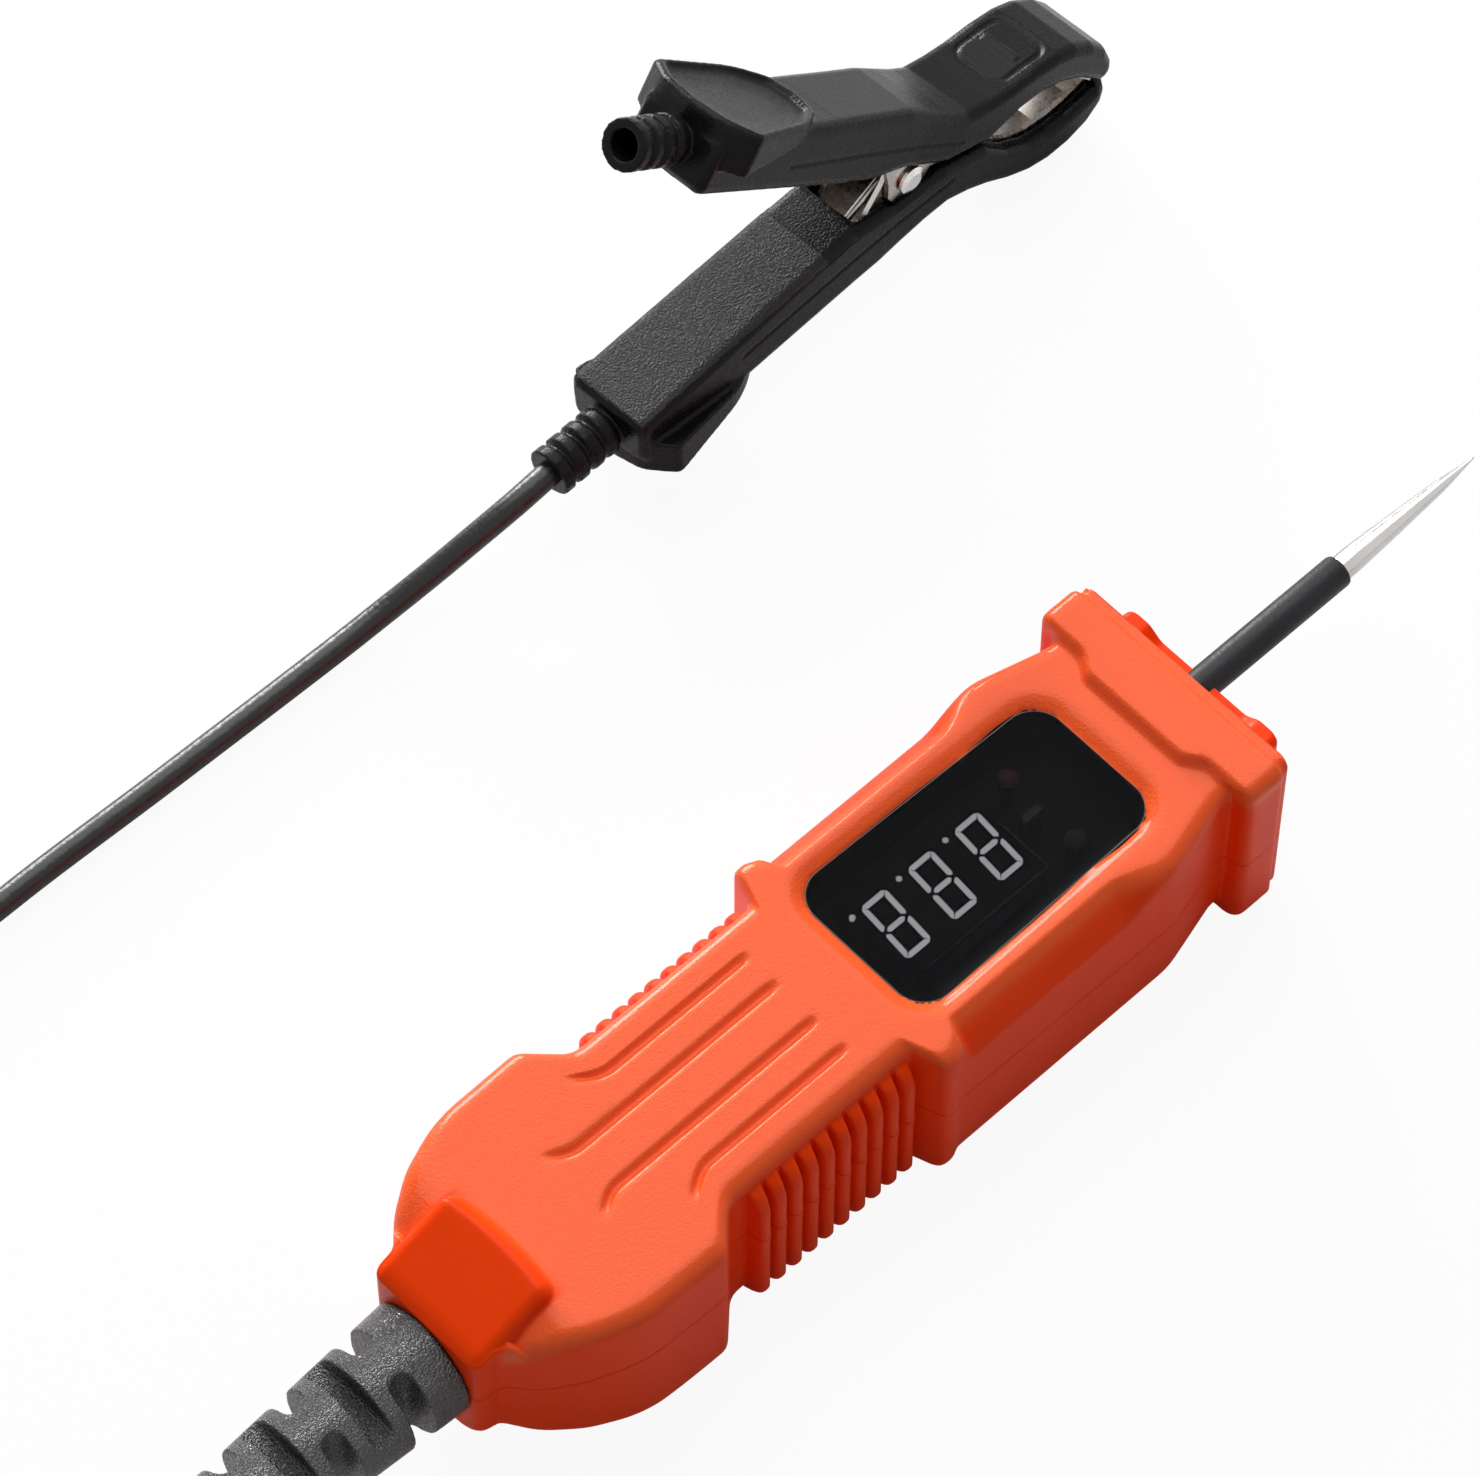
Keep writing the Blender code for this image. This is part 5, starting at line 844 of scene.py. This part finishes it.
sleeve_profile = [(33.5, 1.7), (33.5, 2.25), (50.0, 2.25), (63.6, 2.25), (63.9, 2.16), (64.0, 1.98),
                  (64.0, 1.7)]
mesh_piece("probe_cover", *skin(to_row(turned_rings(sleeve_profile, probe_line, 40))),
           sleeve_rubber, stands_for=("probe_sleeve",), slot="sleeve", sharp=50.0)

# Strain relief. A tapered black rubber boot with pebbled skin, pierced from alternate sides by
# rounded slots so that it bends with the lead.

rubber = grained(material("pebbled_rubber", (0.02, 0.02, 0.022), 0.4, gloss=0.9), 3200.0, 0.00045,
                 (0.014, 0.014, 0.014), (0.026, 0.026, 0.027), (0.14, 0.36))
BOOT_AXIS = 17.6
VOXEL = 0.00028
boot_line = Matrix.Translation((0, 0, BOOT_AXIS))
t = np.linspace(0, 1, 30)
boot_profile = np.concatenate([
    [(-90.6, 5.0), (-90.9, 7.6), (-91.3, 8.1)], np.stack([-91.4 - 42.2 * t, 8.1 - 2.4 * t], -1),
    [(-134.6, 5.3), (-135.1, 4.7), (-135.3, 3.6)]])
boot = mesh_piece("strain_boot", *skin(to_row(turned_rings(boot_profile, boot_line, 64))), rubber,
                  stands_for=("strain_relief",), slot="boot")
slots = []
for number in range(7):
    middle = -91.3 - 6.5 - 5.35 * number
    for sign in (1, -1):
        inner_end = 3.0 if number % 2 else 2.3
        outline = rounded_rectangle((middle - 1.6, inner_end), (middle + 1.6, 12.0), 1.55, 6)
        x, y = outline[:, 0], sign * outline[:, 1]
        rings = np.array([np.stack([x, y, np.full(len(x), d)], -1) for d in (-9.5, 9.5)])
        if number % 2:
            rings = rings[:, :, [0, 2, 1]]
        rings = rings + np.array([0, 0, BOOT_AXIS])
        slots.append(cutter("slot", *skin(to_row(rings))))
cut_all(boot, slots)
shaped(boot, [("REMESH", {"mode": "VOXEL", "voxel_size": VOXEL}),
              ("SMOOTH", {"factor": 0.5, "iterations": 2})])
boot.data.shade_smooth()

# Earth clip. Two moulded black plastic grips with pebbled handles and dished thumb pads hold a
# pair of pressed steel jaws on one rivet, and a torsion spring closes them.

# the pebbled handle faces get a much lighter grey than the rest: painted light on those faces
black = grained(material("black_plastic", (0.006, 0.006, 0.007), 0.3, gloss=0.1), 3200.0,
                0.00022, (0.005, 0.005, 0.006), (0.009, 0.009, 0.01), (0.18, 0.3),
                mask="pebble", painted_light=(0.05, 0.05, 0.053))
jaw_steel = grained(material("jaw_steel", (0.62, 0.58, 0.54), 0.28, 1.0), 1200.0, 0.000003,
                    (0.5, 0.46, 0.42), (0.62, 0.58, 0.54), (0.24, 0.34))
bright_steel = grained(material("rivet_steel", (0.8, 0.79, 0.77), 0.2, 1.0), 1800.0, 0.00001,
                       (0.74, 0.73, 0.71), (0.84, 0.83, 0.81), (0.16, 0.26))


def merged_copy(name, node, finish, body):
    """A joined copy of a solid of the frame, whose own triangles are loose."""
    bm = bmesh.new()
    bm.from_mesh(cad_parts[node].data)
    bmesh.ops.remove_doubles(bm, verts=bm.verts, dist=1e-6)
    bmesh.ops.recalc_face_normals(bm, faces=bm.faces)
    mesh = bpy.data.meshes.new(name)
    bm.to_mesh(mesh)
    bm.free()
    return show(name, mesh, finish, body, (node,), 40.0)


PIVOT = np.array([51.2, 18.9])
MARK_U = 67.8
ALONG = np.array([87.9, 6.3]) - PIVOT
ALONG /= np.linalg.norm(ALONG)


def mirrored(points):
    """The other grip's points: mirror u and z in mm about the line from pivot to tip."""
    points = np.array(points, float)
    away = points[..., [0, 2]] - PIVOT
    points[..., [0, 2]] = 2 * (away @ ALONG)[..., None] * ALONG - away + PIVOT
    return points


def grip_place(points, upper):
    """From a grip's own u, v, z in mm, with its outside below, to the row frame."""
    return clip_place(mirrored(points) if upper else points)


def grip_own(points, upper):
    """From the row frame back to a grip's own u, v, z in mm."""
    start, unit = clip_place((0, 0, 0)), clip_place(1000 * np.eye(3)) - clip_place((0, 0, 0))
    own = (points - start) @ unit.T * 1000
    return mirrored(own) if upper else own


def pad_ring(inset, height):
    """The thumb pad's outline: bowed rear edge, tight corners and sides that close to the front.
    height gives z at each u."""
    half = rounded_plan([(-0.4, 0.0, 0, 0, 0), (0.5, 5.4, 6, 0, 0), (3.6, 9.6, 1.3, 0, 0),
                         (17.5, 7.3, 16, 0, 0), (22.5, 4.2, 2.5, 0, 0), (23.6, 0.0, 0, 0, 0)])[:, :2]
    loop = np.vstack([half, half[-2:0:-1] * (1, -1)])
    loop = (loop - (11.6, 0)) * ((12.0 - inset) / 12.0, (9.6 - inset) / 9.6) + (11.6, 0)
    return np.stack([loop[:, 0], loop[:, 1], height(loop[:, 0])], -1)


def rim_height(u):
    """The pad's outer face: 2.3 mm proud of the handle at the rear and 1.3 mm at the front."""
    return 5.4 + (u - 3.6) / 18.7


for node, name, body in (("clip_lower_grip", "lower_grip", "tester"),
                         ("clip_upper_grip", "upper_grip", "clip_lever")):
    upper = body == "clip_lever"
    grip = merged_copy(name, node, black, body)
    plain = np.array([[(u, v, z) for u, v in ((-0.6, -12), (27, -12), (27, 12), (-0.6, 12))]
                      for z in (-2.0, 7.72)])
    pad = cutter("pad", *skin(grip_place(np.array([
        pad_ring(0.5, rim_height), pad_ring(0.0, lambda u: rim_height(u) + 0.5),
        pad_ring(0.0, lambda u: 12.0 - 0.16 * np.clip(u, 0, 24))]), upper)))
    dish = cutter("dish", *skin(grip_place(np.array([
        pad_ring(1.2, lambda u: rim_height(u) - 1.0), pad_ring(1.2, lambda u: rim_height(u) + 0.2),
        pad_ring(1.6, lambda u: rim_height(u) + 0.75),
        pad_ring(5.0, lambda u: rim_height(u) + 1.1)]), upper)))
    cut_all(grip, [cutter("plain", *skin(grip_place(plain, upper)))])
    shaped(grip, [("BOOLEAN", {"operation": "UNION", "solver": "EXACT", "object": pad})])
    bpy.data.objects.remove(pad)
    cut_all(grip, [dish])
    shaped(grip, [("REMESH", {"mode": "VOXEL", "voxel_size": VOXEL}),
                  ("SMOOTH", {"factor": 0.5, "iterations": 1})])
    own = grip_own(points_of(grip.data), upper)
    u, v, z = own.T
    from_mark = np.abs(u - MARK_U)
    square = np.maximum(from_mark, np.abs(v)) - 2.3
    corner = np.hypot(np.clip(from_mark - 2.3, 0, None), np.clip(np.abs(v) - 2.3, 0, None))
    square = np.where(square > 0, corner, square) - 1.9
    bar = np.maximum(from_mark - 0.5, np.abs(v) - 2.9)
    face = (z < 6.4) & (u > 60) & (u < 76)
    inner = (z > 14.6) & (u > 0.6) & (u < 41) & (np.abs(v) < 6.1)
    seam = (np.abs(z - 13.2) < 0.2) & (u > 18.5) & (u < 58) & (np.abs(v) > 5.5)
    own[:, 2] += face * (0.42 * np.exp(-(square / 0.34) ** 2) - 0.3 * (1 - step_up(bar, -0.1, 0.25)))
    own[:, 2] -= 0.3 * inner * step_up(u, 34.7, 35.3)
    own[:, 1] -= np.sign(v) * 0.16 * seam
    grip.data.vertices.foreach_set("co", grip_place(own, upper).ravel())
    # the pebble mask: stronger grain and the lighter painted-light grey on the pebbled faces, and a
    # little of both in the dish
    in_dish = (z < rim_height(u) + 1.3) & (z > rim_height(u) + 0.45) & (u < 23) & (np.abs(v) < 8.2)
    pebbled_and_painted_light = inner * (1 - 0.75 * step_up(u, 34.8, 35.2))
    paint(grip.data, "pebble", np.maximum(pebbled_and_painted_light, 0.12 * in_dish))
    grip.data.shade_smooth()
for node in ("clip_lower_jaw", "clip_upper_jaw"):
    dress(node, jaw_steel)
dress("clip_rivet", bright_steel)

# the spring: almost three turns round the rivet and a leg along each handle
turns = np.linspace(0, 1, 109)
lean = math.atan2(ALONG[1], ALONG[0])
angle = math.radians(205) + lean + (6 * math.pi - math.radians(50)) * turns
SPRING_RADIUS = 2.5
wound = np.stack([PIVOT[0] + SPRING_RADIUS * np.cos(angle), -2.1 + 4.2 * turns,
                  PIVOT[1] + SPRING_RADIUS * np.sin(angle)], -1)
leg = np.array([[42.4, -2.1, 15.9]])
wire_path = smooth_route(np.vstack([leg, 0.5 * (leg + wound[:1]), wound,
                                    0.5 * (mirrored(leg) * (1, -1, 1) + wound[-1:]),
                                    mirrored(leg) * (1, -1, 1)]), 0.3)
spring_steel = grained(material("spring_steel", (0.4, 0.39, 0.38), 0.25, 1.0), 1800.0, 0.000002,
                       (0.3, 0.29, 0.28), (0.46, 0.45, 0.44), (0.2, 0.32))
spring = mesh_piece("spring_wire", *skin(tube(clip_place(wire_path), 0.00055, 12, (0.0, 1.0, 0.0))),
                    spring_steel, body=None, stands_for=("clip_spring",), slot="jaw")
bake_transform(spring)
